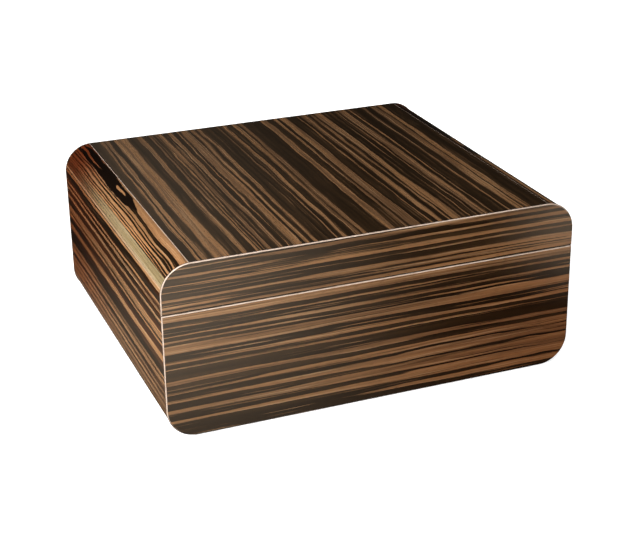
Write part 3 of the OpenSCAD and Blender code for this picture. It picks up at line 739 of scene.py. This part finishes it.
@dataclass(frozen=True)
class ClearGlass(Finish):
    """Flat watch glass with a trace of wiping."""

    def build(self, g: Graph) -> None:
        """Draws clear glass whose gloss varies a little.

        Args:
            g: Node tree.
        """
        wipe = g.specks((18.0, 3.0, 1.0), 3)
        tint = g.mix(wipe, (0.97, 0.99, 0.99), (0.93, 0.97, 0.96))
        g.surface(tint, g.smooth(wipe, 0.4, 0.8, 0.0, 0.04), Transmission_Weight=1.0, IOR=1.46)


@dataclass(frozen=True)
class PaleFloor(Finish):
    """Plain pale studio floor, lit a little from below."""

    glow: float = 0.55

    def build(self, g: Graph) -> None:
        """Draws a near-white matt sweep.

        Args:
            g: Node tree.
        """
        clouds = g.clouds(400.0, 2)
        g.surface(g.mix(clouds, (0.89, 0.89, 0.885), (0.92, 0.92, 0.915)), 0.8, Specular_IOR_Level=0.1,
                  Emission_Strength=self.glow)
        g.shader.inputs["Emission Color"].default_value = (*WHITE, 1.0)


TOP_BANDS: tuple[Band, ...] = (
    (5.5, 8.0), (9.0, 12.5), (16.5, 28.0), (36.0, 40.0), (45.0, 47.5), (48.4, 49.4), (51.0, 52.0),
    (53.0, 56.5), (58.2, 59.0), (61.0, 64.5), (68.2, 69.2), (71.0, 77.5), (79.5, 82.5), (85.0, 88.5),
    (102.0, 103.2), (106.5, 110.0), (115.0, 119.0), (120.0, 123.5), (139.5, 144.0), (150.5, 153.0),
    (155.0, 161.5), (170.0, 171.0), (174.5, 179.0), (182.5, 184.5), (186.5, 192.5), (195.3, 196.2),
    (199.6, 200.6), (204.4, 205.6), (207.5, 213.5), (216.0, 217.5), (228.0, 230.0), (235.0, 241.0),
    (242.0, 246.5))
FRONT_BANDS: tuple[Band, ...] = (
    (1.5, 3.5), (7.2, 8.8), (12.5, 14.6), (17.4, 18.2), (22.8, 25.3), (26.6, 27.4), (28.4, 29.6),
    (30.8, 33.0), (34.4, 39.8), (42.4, 43.6), (48.6, 50.6), (53.0, 54.2), (56.0, 62.0), (64.2, 65.4),
    (67.0, 70.0), (72.4, 73.6), (81.5, 84.6), (88.3, 91.6), (94.6, 98.2), (101.8, 106.4), (109.6, 113.2),
    (117.8, 119.2))
SIDE_BANDS: tuple[Band, ...] = (
    (16.5, 18.8), (25.8, 28.0), (30.4, 33.6), (37.4, 40.4), (45.8, 52.0), (53.6, 55.6), (62.4, 67.6),
    (78.0, 80.4), (81.6, 85.8), (89.4, 92.0), (93.6, 97.0), (98.4, 102.0), (103.5, 106.2), (107.6, 112.0))
CORNER_BANDS: tuple[Band, ...] = (
    (-3.0, 7.4), (9.4, 11.6), (12.1, 13.4), (14.2, 16.4), (16.9, 18.2), (18.6, 20.1), (20.6, 21.9),
    (22.5, 23.8), (24.3, 26.4), (26.9, 30.0))

TOP_VENEER = Veneer("top_veneer", Axis.X, Axis.Y, -129.0, 1, TOP_BANDS, seed=2.0, lean=-0.006, waver=1.5)
FRONT_VENEER = FrontVeneer(
    "front_veneer", Axis.Z, Axis.X, 125.0, -1, FRONT_BANDS, seed=31.0, sway=1.6, waver=0.8,
    waver_length=100.0, ripple=0.4, fine=1.4, grit=0.5, blush=(-80.0, 150.0, 0.7), ember=(0.80, 0.56, 0.44))
SIDE_VENEER = SideVeneer(
    "side_veneer", Axis.Z, Axis.Y, 125.0, -1, SIDE_BANDS, seed=57.0, sway=1.6, lines=0.6, grit=0.2, fine=1.8,
    soft=0.18, hairlines=0.5, umber=(0.052, 0.0150, 0.0045), brown=(0.160, 0.079, 0.034),
    amber=(0.28, 0.140, 0.059), cream=(0.42, 0.270, 0.145), blush=(-50.0, 115.0, 0.9),
    ember=(0.72, 0.42, 0.29))
CORNER_VENEER = BentVeneer(
    "corner_veneer", Axis.X, Axis.Y, 0.0, 1, CORNER_BANDS, seed=83.0, sway=3.4, sway_length=95.0,
    ripple=0.35, lines=0.6, hairlines=0.6, brown=(0.17, 0.084, 0.036), amber=(0.25, 0.122, 0.051),
    cream=(0.38, 0.26, 0.145), blush=(10.0, 115.0, 1.0), ember=(0.36, 0.15, 0.10))
STAINED = BareWood("stained_rim", Axis.X, (0.055, 0.036, 0.026), (0.02, 0.0135, 0.0105),
                   (0.008, 0.006, 0.005), (0.3, 0.45), 0.5)
CEDAR = {axis: BareWood(f"cedar_along_{axis.name}", axis) for axis in (Axis.X, Axis.Y)}
BRASS = Metal("polished_brass", (0.83, 0.60, 0.25), (0.66, 0.43, 0.16))
STEEL = Metal("plain_steel", (0.62, 0.62, 0.61), (0.45, 0.44, 0.43), (0.25, 0.42))
NICKEL = Metal("plated_magnet", (0.42, 0.42, 0.43), (0.3, 0.3, 0.31), (0.2, 0.36))
BLACK_PLASTIC = Plastic("black_plastic", (0.012, 0.012, 0.013), (0.022, 0.022, 0.023))
FELT = Nap("green_felt", (0.010, 0.032, 0.018), (0.035, 0.085, 0.05))
FOAM = OpenCells("green_foam", (0.09, 0.2, 0.09), (0.012, 0.04, 0.016))
DIAL_PAINT = Paint("ivory_dial", (0.62, 0.575, 0.47), (0.55, 0.50, 0.40))
DIAL_INK = Paint("black_ink", (0.012, 0.012, 0.012), (0.03, 0.028, 0.026))
COMFORT_INK = Paint("green_ink", (0.05, 0.17, 0.07), (0.07, 0.21, 0.09))
NEEDLE_PAINT = Paint("needle_lacquer", (0.012, 0.011, 0.011), (0.026, 0.024, 0.023), (0.2, 0.34))
GLASS = ClearGlass("watch_glass")
FLOOR = PaleFloor("studio_floor")
# Painted highlight: pale finish of the eased arrises and seams that face the light.
ARRIS_HIGHLIGHT = Paint("arris_painted_highlight", (0.36, 0.285, 0.235), (0.28, 0.210, 0.165), (0.2, 0.35))
# Painted shade: near-black finish of the base's eased faces that point down or to the right.
ARRIS_SHADE = Paint("arris_painted_shade", (0.006, 0.004, 0.003), (0.014, 0.009, 0.006), (0.3, 0.45))


def add(name: str, data: bpy.types.ID) -> bpy.types.Object:
    """Adds an object to the scene.

    Args:
        name: Name of the object.
        data: Its mesh, curve, light or camera.

    Returns:
        The new object.
    """
    made = bpy.data.objects.new(name, data)
    bpy.context.scene.collection.objects.link(made)
    return made


def in_plane(verts: Iterable[bmesh.types.BMVert], axis: Axis, spot: float) -> bool:
    """Returns whether all vertices lie at one place along an axis."""
    return all(abs(v.co[axis.value] - spot) < NEAR for v in verts)


class Shape:
    """A mesh in the making, in metres."""

    HAIR = 0.001 * MM
    WELD = 1e-7
    SHARP = math.radians(50)

    def __init__(self) -> None:
        """Starts an empty mesh."""
        self.bm = bmesh.new()

    def outline(self, points: Iterable[Sequence[float]]) -> bmesh.types.BMFace:
        """Returns a face over a few corner points."""
        return self.bm.faces.new([self.bm.verts.new(point) for point in points])

    def round_points(self, points: Sequence[bmesh.types.BMVert], radius: float, segments: int) -> None:
        """Rounds corners of a flat outline.

        Args:
            points: Vertices at the corners.
            radius: Radius of the rounding.
            segments: Edges in each arc.
        """
        bmesh.ops.bevel(self.bm, geom=list(points), offset=radius, segments=segments, profile=0.5,
                        affect="VERTICES", material=-1)

    def merge(self) -> None:
        """Merges vertices that share a place."""
        bmesh.ops.remove_doubles(self.bm, verts=list(self.bm.verts), dist=self.WELD)

    def turn_out(self) -> None:
        """Turns all faces outwards."""
        bmesh.ops.recalc_face_normals(self.bm, faces=list(self.bm.faces))

    def thicken(self, shift: Sequence[float]) -> None:
        """Extrudes every face of a flat outline and turns the skin outwards.

        Args:
            shift: Way from the outline to its far side.
        """
        made = bmesh.ops.extrude_face_region(self.bm, geom=list(self.bm.faces))
        moved = [v for v in made["geom"] if isinstance(v, bmesh.types.BMVert)]
        bmesh.ops.translate(self.bm, verts=moved, vec=shift)
        self.turn_out()

    def ease(self, edges: Iterable[bmesh.types.BMEdge], radius: float,
             segments: int) -> list[bmesh.types.BMFace]:
        """Rounds edges.

        Args:
            edges: Edges to round.
            radius: Radius of the rounding.
            segments: Faces across the rounding.

        Returns:
            The new faces.
        """
        made = bmesh.ops.bevel(self.bm, geom=list(edges), offset=radius, segments=segments, profile=0.5,
                               affect="EDGES", material=-1, clamp_overlap=True)
        return made["faces"]

    def block(self, low: Vector, high: Vector) -> list[bmesh.types.BMVert]:
        """Adds a box between two points.

        Args:
            low: Its lowest corner.
            high: Its highest corner.

        Returns:
            Its eight vertices.
        """
        size = high - low
        place = Matrix.Translation((low + high) / 2) @ Matrix.Diagonal((*size, 1.0))
        return bmesh.ops.create_cube(self.bm, size=1.0, matrix=place)["verts"]

    def keep_side(self, point: Sequence[float], outward: Sequence[float]) -> None:
        """Cuts the mesh at a plane, drops what lies outward of it and closes the cut.

        Args:
            point: A point of the plane.
            outward: Direction of the side that goes.
        """
        everything = [*self.bm.verts, *self.bm.edges, *self.bm.faces]
        bmesh.ops.bisect_plane(self.bm, geom=everything, plane_co=point, plane_no=outward, clear_outer=True)
        bmesh.ops.holes_fill(self.bm, edges=[e for e in self.bm.edges if e.is_boundary], sides=0)

    def piece(self, name: str, finishes: Sequence[Finish], body: str, slot: Slot,
              *replaced: str) -> bpy.types.Object:
        """Makes the finished piece, which rides on a body.

        Args:
            name: Name of the piece.
            finishes: Its finishes, in the order of the faces' material numbers.
            body: Body that it moves with.
            slot: Material slot of the record; not used.
            *replaced: CAD nodes that it stands for.

        Returns:
            The object, at the origin.
        """
        mesh = bpy.data.meshes.new(name)
        bmesh.ops.dissolve_degenerate(self.bm, dist=self.HAIR, edges=list(self.bm.edges))
        self.bm.normal_update()
        self.bm.to_mesh(mesh)
        self.bm.free()
        mesh.polygons.foreach_set("use_smooth", [True] * len(mesh.polygons))
        mesh.set_sharp_from_angle(angle=self.SHARP)
        for finish in finishes:
            mesh.materials.append(finish.material())
        made = add(name, mesh)
        made.modifiers.new("even_shading", "WEIGHTED_NORMAL").keep_sharp = True
        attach(made, body)
        if replaced:
            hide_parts(*replaced)
        LOG.info("%s: %d faces on %s", name, len(mesh.polygons), body)
        return made


def dress(finish: Finish, *nodes: str) -> None:
    """Gives CAD nodes a finish.

    Args:
        finish: The finish.
        *nodes: Names of the nodes.
    """
    for name in nodes:
        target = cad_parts[name]
        if not target.material_slots:
            target.data.materials.append(finish.material())
        for holder in target.material_slots:
            holder.material = finish.material()
        LOG.info("%s: %s", name, finish.name)


@dataclass
class Shell:
    """Veneered outside of the lid or the base: front face, flat panel and corner mouldings."""

    body: str
    panel: str
    upward: int
    round_r: float = 21 * MM
    round_steps: int = 28
    arris: float = 0.65 * MM
    arris_steps: int = 5
    seam: float = 0.35 * MM
    seam_steps: int = 3
    strip: float = 4 * MM
    strip_steps: int = 36
    lit: float = 0.1
    shaded: float = 0.2

    def arris_number(self, normal: Vector) -> int:
        """Chooses the finish of an eased face: a pale painted highlight where it faces up or to the left,
        towards the light, and a dark painted shade where the base's faces point down or to the right.

        Args:
            normal: Outward direction of the face.

        Returns:
            The finish's number in the front face's list.
        """
        if normal.z > self.lit or normal.x < -self.lit and normal.z > -self.shaded:
            return 1
        if self.upward < 0 and (normal.z < -self.shaded or normal.x > self.shaded):
            return 2
        return 0

    def front_face(self) -> None:
        """Builds the veneered sheet over the front, rounded at two corners and eased all round, with painted
        highlight and painted shade on the eased faces.
        """
        node = f"{self.body}_front_sheet"
        low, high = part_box(node)
        shape = Shape()
        face = shape.outline([(low.x, low.y, low.z), (high.x, low.y, low.z), (high.x, low.y, high.z),
                              (low.x, low.y, high.z)])
        far = high.z if self.upward > 0 else low.z
        rounded = [v for v in face.verts if in_plane([v], Axis.Z, far)]
        shape.round_points(rounded, self.round_r, self.round_steps)
        shape.thicken((0, high.y - low.y, 0))
        rim = [e for e in shape.bm.edges if in_plane(e.verts, Axis.Y, low.y)]
        # Each eased face gets painted highlight, painted shade or plain veneer by the way it faces.
        for eased in shape.ease(rim, self.arris, self.arris_steps):
            eased.normal_update()
            eased.material_index = self.arris_number(eased.normal)
        finishes = [FRONT_VENEER, ARRIS_HIGHLIGHT, ARRIS_SHADE]
        shape.piece(f"{self.body}_front_face", finishes, self.body, Slot.VENEER, node)

    def ease_seams(self, shape: Shape, seams: Iterable[bmesh.types.BMEdge]) -> None:
        """Rounds the edges along the seams and marks them for the second finish, the pale painted highlight.
        """
        for face in shape.ease(seams, self.seam, self.seam_steps):
            face.material_index = 1

    def flat_panel(self) -> None:
        """Builds the panel between the corner mouldings, eased along its two seams."""
        low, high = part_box(self.panel)
        shape = Shape()
        shape.block(low, high)
        outer = high.z if self.upward > 0 else low.z
        self.ease_seams(shape, [e for e in shape.bm.edges if in_plane(e.verts, Axis.Z, outer)
                                and in_plane(e.verts, Axis.X, e.verts[0].co.x)])
        shape.piece(f"{self.body}_flat_panel", [TOP_VENEER, ARRIS_HIGHLIGHT], self.body, Slot.VENEER, self.panel)

    def corner(self, side: int) -> None:
        """Builds one corner moulding as a strip spun round the edge, cut at its seams.

        Args:
            side: -1 for the left corner, 1 for the right one.
        """
        node = f"{self.body}_{'left' if side < 0 else 'right'}_corner"
        low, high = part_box(node)
        far_x, near_x = (low.x, high.x) if side < 0 else (high.x, low.x)
        far_z, near_z = (high.z, low.z) if self.upward > 0 else (low.z, high.z)
        centre = Vector((far_x - side * self.round_r, 0, far_z - self.upward * self.round_r))
        inner, outer = self.round_r - self.strip, self.round_r
        shape = Shape()
        blade = shape.outline([(centre.x + side * r, y, centre.z) for r, y in
                               ((inner, low.y), (outer, low.y), (outer, high.y), (inner, high.y))])
        bmesh.ops.spin(shape.bm, geom=[blade, *blade.edges, *blade.verts], cent=centre, axis=(0, 1, 0),
                       angle=-side * self.upward * math.pi / 2, steps=self.strip_steps)
        shape.merge()
        shape.keep_side((near_x, 0, 0), (-side, 0, 0))
        shape.keep_side((0, 0, near_z), (0, 0, -self.upward))
        shape.turn_out()
        self.ease_seams(shape, [e for e in shape.bm.edges if self.is_seam(e, centre, near_x, near_z)])
        shape.piece(f"{node}_moulding", [CORNER_VENEER, ARRIS_HIGHLIGHT], self.body, Slot.CORNER, node)

    def is_seam(self, edge: bmesh.types.BMEdge, centre: Vector, near_x: float, near_z: float) -> bool:
        """Tells the two long outer edges of a corner moulding from its other edges.

        Args:
            edge: Edge of the moulding.
            centre: Centre of its arc.
            near_x: Place of its seam with the flat panel.
            near_z: Height of its seam with the side wall.

        Returns:
            Whether the edge lies along a seam, on the outside.
        """
        first = edge.verts[0].co
        long = not in_plane(edge.verts, Axis.Y, first.y)
        outside = math.hypot(first.x - centre.x, first.z - centre.z) > self.round_r - self.strip / 2
        cut = in_plane(edge.verts, Axis.X, near_x) or in_plane(edge.verts, Axis.Z, near_z)
        return long and outside and cut

    def build(self) -> None:
        """Builds the outside and gives the walls that carry hinges their finish."""
        self.front_face()
        self.flat_panel()
        self.corner(-1)
        self.corner(1)
        dress(FRONT_VENEER, f"{self.body}_back_sheet")
        dress(SIDE_VENEER, f"{self.body}_left_side", f"{self.body}_right_side")
        dress(STAINED, f"{self.body}_front_board", f"{self.body}_back_board")


@dataclass
class Underlay:
    """Felt glued to the underside."""

    corner: float = 6 * MM
    corner_steps: int = 8
    soft_edge: float = 0.35 * MM
    edge_steps: int = 2

    def build(self) -> None:
        """Builds the felt as a cut sheet with round corners and a soft lower edge."""
        low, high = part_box("base_felt")
        shape = Shape()
        face = shape.outline([(low.x, low.y, low.z), (high.x, low.y, low.z), (high.x, high.y, low.z),
                              (low.x, high.y, low.z)])
        shape.round_points(list(face.verts), self.corner, self.corner_steps)
        shape.thicken((0, 0, high.z - low.z))
        rim = [e for e in shape.bm.edges if in_plane(e.verts, Axis.Z, low.z)]
        shape.ease(rim, self.soft_edge, self.edge_steps)
        felt = shape.piece("felt_underlay", [FELT], "base", Slot.FELT, "base_felt")


@dataclass
class Fittings:
    """Cedar lining, tray, dividers and hinges, which keep their CAD shapes."""

    along_x: tuple[str, ...] = ("base_front_liner", "base_back_liner", "lid_front_liner", "lid_back_liner",
                                "lid_top_liner", "base_floor_liner", "front_tray_rail", "back_tray_rail",
                                "tray_front", "tray_back")
    along_y: tuple[str, ...] = ("base_left_liner", "base_right_liner", "lid_left_liner", "lid_right_liner",
                                "tray_left", "tray_right", "tray_floor", "tray_divider", "base_divider")
    brass: tuple[str, ...] = ("left_base_leaf", "right_base_leaf", "left_lid_leaf", "right_lid_leaf",
                              "left_stay", "right_stay", "base_leaf_screws", "lid_leaf_screws")
    steel: tuple[str, ...] = ("hinge_pins", "lid_plates", "hygrometer_spindle")

    def build(self) -> None:
        """Gives each node its finish, with the grain along the board."""
        dress(CEDAR[Axis.X], *self.along_x)
        dress(CEDAR[Axis.Y], *self.along_y)
        dress(BRASS, *self.brass)
        dress(STEEL, *self.steel)
        dress(NICKEL, "device_magnets")


@dataclass
class Humidifier:
    """Case, grille and shutter of black plastic around a block of foam."""

    soft_edge: float = 0.9 * MM
    edge_steps: int = 3
    long_edge: float = 20 * MM
    cuts: int = 6

    def build(self) -> None:
        """Builds the foam block and gives the plastic its skin."""
        dress(BLACK_PLASTIC, "humidifier_case", "humidifier_grille", "humidifier_shutter")
        low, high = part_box("humidifier_foam")
        shape = Shape()
        shape.block(low, high)
        shape.ease(shape.bm.edges, self.soft_edge, self.edge_steps)
        long_edges = [e for e in shape.bm.edges if e.calc_length() > self.long_edge]
        bmesh.ops.subdivide_edges(shape.bm, edges=long_edges, cuts=self.cuts, use_grid_fill=True)
        foam = shape.piece("foam_block", [FOAM], "lid", Slot.FOAM, "humidifier_foam")


@dataclass
class Hygrometer:
    """Brass case with a printed dial, a needle and a turned bezel.

    Each graduation is the step of its readings, its share of the longest tick, and its width.
    """

    swing: float = 120.0
    lowest: int = 40
    highest: int = 100
    labelled: int = 10
    ring: float = 22.9 * MM
    tick: float = 2.0 * MM
    graduations: tuple[tuple[int, float, float], ...] = (
        (10, 1.0, 0.45 * MM), (5, 0.75, 0.25 * MM), (1, 0.5, 0.25 * MM))
    film: float = 0.05 * MM
    comfort: tuple[int, int] = (65, 75)
    comfort_ring: Pair = (19.3 * MM, 20.3 * MM)
    comfort_steps: int = 16
    figure: float = 3.6 * MM
    figure_ring: float = 16.7 * MM
    bore: float = 23.6 * MM
    play: float = 0.2 * MM
    lip: float = 1.1 * MM
    lip_steps: int = 6
    turned_steps: int = 96

    def place(self) -> Vector:
        """Returns the middle of the dial's face."""
        low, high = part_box("hygrometer_dial")
        return Vector(((low.x + high.x) / 2, (low.y + high.y) / 2, low.z))

    def turn(self, reading: float) -> float:
        """Returns the angle of a reading from the front, growing to the right, in radians."""
        middle = (self.lowest + self.highest) / 2
        return math.radians((reading - middle) / (self.highest - middle) * self.swing)

    def scale(self) -> None:
        """Builds the printed ticks."""
        centre, shape = self.place(), Shape()
        for reading in range(self.lowest, self.highest + 1):
            share, wide = next(row[1:] for row in self.graduations if reading % row[0] == 0)
            low = Vector((-wide / 2, -self.ring, -self.film))
            verts = shape.block(low, Vector((wide / 2, self.tick * share - self.ring, 0)))
            turned = Matrix.Rotation(self.turn(reading), 3, "Z")
            bmesh.ops.rotate(shape.bm, verts=verts, cent=(0, 0, 0), matrix=turned)
            bmesh.ops.translate(shape.bm, verts=verts, vec=centre)
        shape.piece("dial_ticks", [DIAL_INK], "lid", Slot.DIAL)

    def comfort_band(self) -> None:
        """Builds the coloured arc over the best readings."""
        centre, shape = self.place(), Shape()
        inner, outer = self.comfort_ring
        blade = shape.outline([(0, -r, z) for r, z in
                               ((inner, 0), (outer, 0), (outer, -self.film), (inner, -self.film))])
        first, last = (self.turn(reading) for reading in self.comfort)
        turned = Matrix.Rotation(first, 3, "Z")
        bmesh.ops.rotate(shape.bm, verts=list(blade.verts), cent=(0, 0, 0), matrix=turned)
        bmesh.ops.spin(shape.bm, geom=[blade, *blade.edges, *blade.verts], cent=(0, 0, 0), axis=(0, 0, 1),
                       angle=last - first, steps=self.comfort_steps)
        bmesh.ops.translate(shape.bm, verts=list(shape.bm.verts), vec=centre)
        shape.turn_out()
        shape.piece("dial_comfort_arc", [COMFORT_INK], "lid", Slot.DIAL)

    def number(self, reading: int) -> bpy.types.Mesh:
        """Makes one number of the scale.

        Args:
            reading: The number.

        Returns:
            Its mesh, at the origin.
        """
        line = bpy.data.curves.new("figure", "FONT")
        line.body, line.size = str(reading), self.figure
        line.align_x, line.align_y = "CENTER", "CENTER"
        line.extrude = self.film / 2
        holder = add("figure", line)
        bpy.context.view_layer.update()
        mesh = bpy.data.meshes.new_from_object(holder.evaluated_get(bpy.context.evaluated_depsgraph_get()))
        bpy.data.objects.remove(holder)
        bpy.data.curves.remove(line)
        return mesh

    def figures(self) -> None:
        """Builds the numbers of the scale, upright when the lid stands open."""
        centre, shape = self.place(), Shape()
        for reading in range(self.lowest, self.highest + 1, self.labelled):
            mesh, angle = self.number(reading), self.turn(reading)
            spot = Vector((math.sin(angle), -math.cos(angle), 0)) * self.figure_ring
            spot += centre - Vector((0, 0, self.film / 2))
            mesh.transform(Matrix.Translation(spot) @ Matrix.Rotation(math.pi, 4, "X"))
            shape.bm.from_mesh(mesh)
            bpy.data.meshes.remove(mesh)
        shape.merge()
        shape.piece("dial_figures", [DIAL_INK], "lid", Slot.DIAL)

    def bezel(self) -> None:
        """Builds the turned bezel with a rolled lip and a plain skirt."""
        low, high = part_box("hygrometer_bezel")
        case_low, case_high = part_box("hygrometer_case")
        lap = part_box("hygrometer_glass")[0].z
        centre = Vector(((low.x + high.x) / 2, (low.y + high.y) / 2, 0))
        outer, skirt = (high.x - low.x) / 2, (case_high.x - case_low.x) / 2 + self.play
        shape = Shape()
        ring = shape.outline([(centre.x + r, centre.y, z) for r, z in
                              ((skirt, high.z), (outer, high.z), (outer, low.z), (self.bore, low.z),
                               (self.bore, lap), (skirt, lap))])
        lip = [v for v in ring.verts if in_plane([v], Axis.Z, low.z)]
        shape.round_points(lip, self.lip, self.lip_steps)
        bmesh.ops.spin(shape.bm, geom=[*shape.bm.faces, *shape.bm.edges, *shape.bm.verts], cent=centre,
                       axis=(0, 0, 1), angle=2 * math.pi, steps=self.turned_steps, use_merge=True)
        bmesh.ops.delete(shape.bm, geom=[f for f in shape.bm.faces if len(f.verts) > 4], context="FACES")
        shape.merge()
        shape.turn_out()
        shape.piece("turned_bezel", [BRASS], "lid", Slot.BRASS, "hygrometer_bezel")

    def build(self) -> None:
        """Builds the print and the bezel and gives the other parts their finish."""
        dress(BRASS, "hygrometer_case")
        dress(DIAL_PAINT, "hygrometer_dial")
        dress(NEEDLE_PAINT, "hygrometer_needle")
        dress(GLASS, "hygrometer_glass")
        self.scale()
        self.comfort_band()
        self.figures()
        self.bezel()


@dataclass
class Lamp:
    """One soft light."""

    name: str
    place: Place
    aim: Place
    size: Pair
    power: float
    mirrored: bool = True

    def build(self) -> None:
        """Hangs the light and turns it to its aim."""
        light = bpy.data.lights.new(self.name, "AREA")
        light.shape = "RECTANGLE"
        light.size, light.size_y = self.size
        light.energy = self.power
        holder = add(self.name, light)
        holder.visible_camera = False
        holder.visible_glossy = self.mirrored
        holder.location = self.place
        holder.rotation_mode = "QUATERNION"
        holder.rotation_quaternion = (Vector(self.aim) - Vector(self.place)).to_track_quat("-Z", "Y")


@dataclass
class Glow:
    """A soft bright part of the room, bounded by eased ranges of the direction's parts."""

    strength: float
    ranges: tuple[tuple[Axis, float, float], ...]

    def draw(self, nodes: Nodes, way: Sequence[Socket]) -> Socket:
        """Returns the glow's brightness.

        Args:
            nodes: The room's node tree.
            way: Parts of the direction.

        Returns:
            The socket of the brightness.
        """
        level: Value = self.strength
        for axis, dim, bright in self.ranges:
            level = nodes.times(nodes.smooth(way[axis.value], dim, bright), level)
        return level


@dataclass
class Studio:
    """Pale floor, soft lights and the camera in front of the box's left corner."""

    lamps: tuple[Lamp, ...] = (
        Lamp("key", (-0.36, -0.42, 0.50), (-0.10, -0.08, 0.10), (0.36, 0.3), 5.2),
        Lamp("front", (-0.55, -1.35, 0.45), (-0.08, -0.13, 0.06), (0.9, 0.7), 19.0, mirrored=False),
        Lamp("left", (-1.0, -0.40, 0.34), (-0.15, -0.02, 0.05), (0.5, 0.5), 14.5, mirrored=False),
        Lamp("back", (1.0, 0.95, 0.25), (0.05, 0.05, 0.06), (0.8, 0.5), 18.0, mirrored=False),
        Lamp("backdrop", (0.5, 1.5, 1.6), (0.5, 1.4, 0.0), (1.6, 1.2), 13.0),
        Lamp("overhead", (0.1, 0.1, 2.0), (0.1, 0.1, 0.0), (2.4, 2.2), 12.0),
    )
    # They show on the top towards its back, on the front, at its right end, and low on the left side.
    glows: tuple[Glow, ...] = (
        Glow(0.25, ((Axis.X, 0.38, 0.20), (Axis.X, 0.12, 0.19), (Axis.Y, 0.5, 0.8), (Axis.Z, 0.24, 0.40))),
        Glow(2.4, ((Axis.X, 0.42, 0.20), (Axis.Y, -0.4, -0.7), (Axis.Z, -0.56, -0.38),
                   (Axis.Z, -0.24, -0.32))),
        Glow(1.3, ((Axis.X, 0.44, 0.50), (Axis.Y, -0.4, -0.7), (Axis.Z, -0.42, -0.37),
                   (Axis.Z, -0.24, -0.32))),
        Glow(0.14, ((Axis.Y, 0.4, 0.7), (Axis.Z, -0.37, -0.44), (Axis.Z, -0.53, -0.47))),
    )
    warm: Colour = (1.0, 0.83, 0.64)
    ambient: float = 0.02
    backing: float = 0.9
    floor_half: float = 6.0
    eye: Place = (-0.3746, -0.9663, 0.4944)
    azimuth: float = -21.75
    elevation: float = 23.34
    roll: float = -0.70
    lens: float = 84.03
    sensor: float = 36.0
    clip: Band = (0.05, 50.0)

    def floor(self) -> None:
        """Lays the floor; the room's glows stand in for the light that it would throw back."""
        bm = bmesh.new()
        bmesh.ops.create_grid(bm, x_segments=4, y_segments=4, size=self.floor_half)
        mesh = bpy.data.meshes.new("floor")
        bm.to_mesh(mesh)
        bm.free()
        mesh.materials.append(FLOOR.material())
        sweep = add("floor", mesh)
        sweep.visible_glossy = sweep.visible_diffuse = sweep.visible_shadow = False

    def air(self) -> None:
        """Fills the room with dim light and soft glows for the lacquer, and keeps the colours plain."""
        world = bpy.data.worlds.new("room")
        world.use_nodes = True
        nodes = Nodes(world.node_tree)
        facing = nodes.node("ShaderNodeTexCoord").outputs["Generated"]
        way = nodes.node("ShaderNodeSeparateXYZ", {0: facing}).outputs
        seen = nodes.node("ShaderNodeLightPath").outputs["Is Camera Ray"]
        colours = {0: seen, 6: (*self.warm, 1.0), 7: (*WHITE, 1.0)}
        level = nodes.total(self.ambient, nodes.times(seen, self.backing),
                            *(glow.draw(nodes, way) for glow in self.glows))
        background = world.node_tree.nodes["Background"].inputs
        world.node_tree.links.new(level, background["Strength"])
        world.node_tree.links.new(nodes.node("ShaderNodeMix", colours, data_type="RGBA").outputs[2],
                                  background["Color"])
        bpy.context.scene.world = world
        bpy.context.scene.view_settings.view_transform = "Standard"

    def camera(self) -> None:
        """Sets the camera at the photograph's place and angle."""
        data = bpy.data.cameras.new("camera")
        data.lens, data.sensor_width = self.lens, self.sensor
        data.clip_start, data.clip_end = self.clip
        holder = add("camera", data)
        turn, lift, roll = (math.radians(a) for a in (self.azimuth, self.elevation, self.roll))
        back = Vector((math.sin(turn) * math.cos(lift), -math.cos(turn) * math.cos(lift), math.sin(lift)))
        right = Vector((math.cos(turn), math.sin(turn), 0.0))
        up = back.cross(right)
        level = Matrix((right, up, back)).transposed().to_4x4()
        holder.matrix_world = Matrix.Translation(self.eye) @ level @ Matrix.Rotation(roll, 4, "Z")
        bpy.context.scene.camera = holder

    def build(self) -> None:
        """Sets up the room."""
        self.camera()
        self.floor()
        self.air()
        for lamp in self.lamps:
            lamp.build()


def main() -> None:
    """Builds the room and the humidor's parts in order."""
    logging.basicConfig(level=logging.INFO, format="%(message)s")
    Studio().build()
    for part in (Shell("base", "base_floor_panel", -1), Shell("lid", "lid_top_panel", 1), Underlay(),
                 Fittings(), Humidifier(), Hygrometer()):
        part.build()


if __name__ == "__main__":
    main()
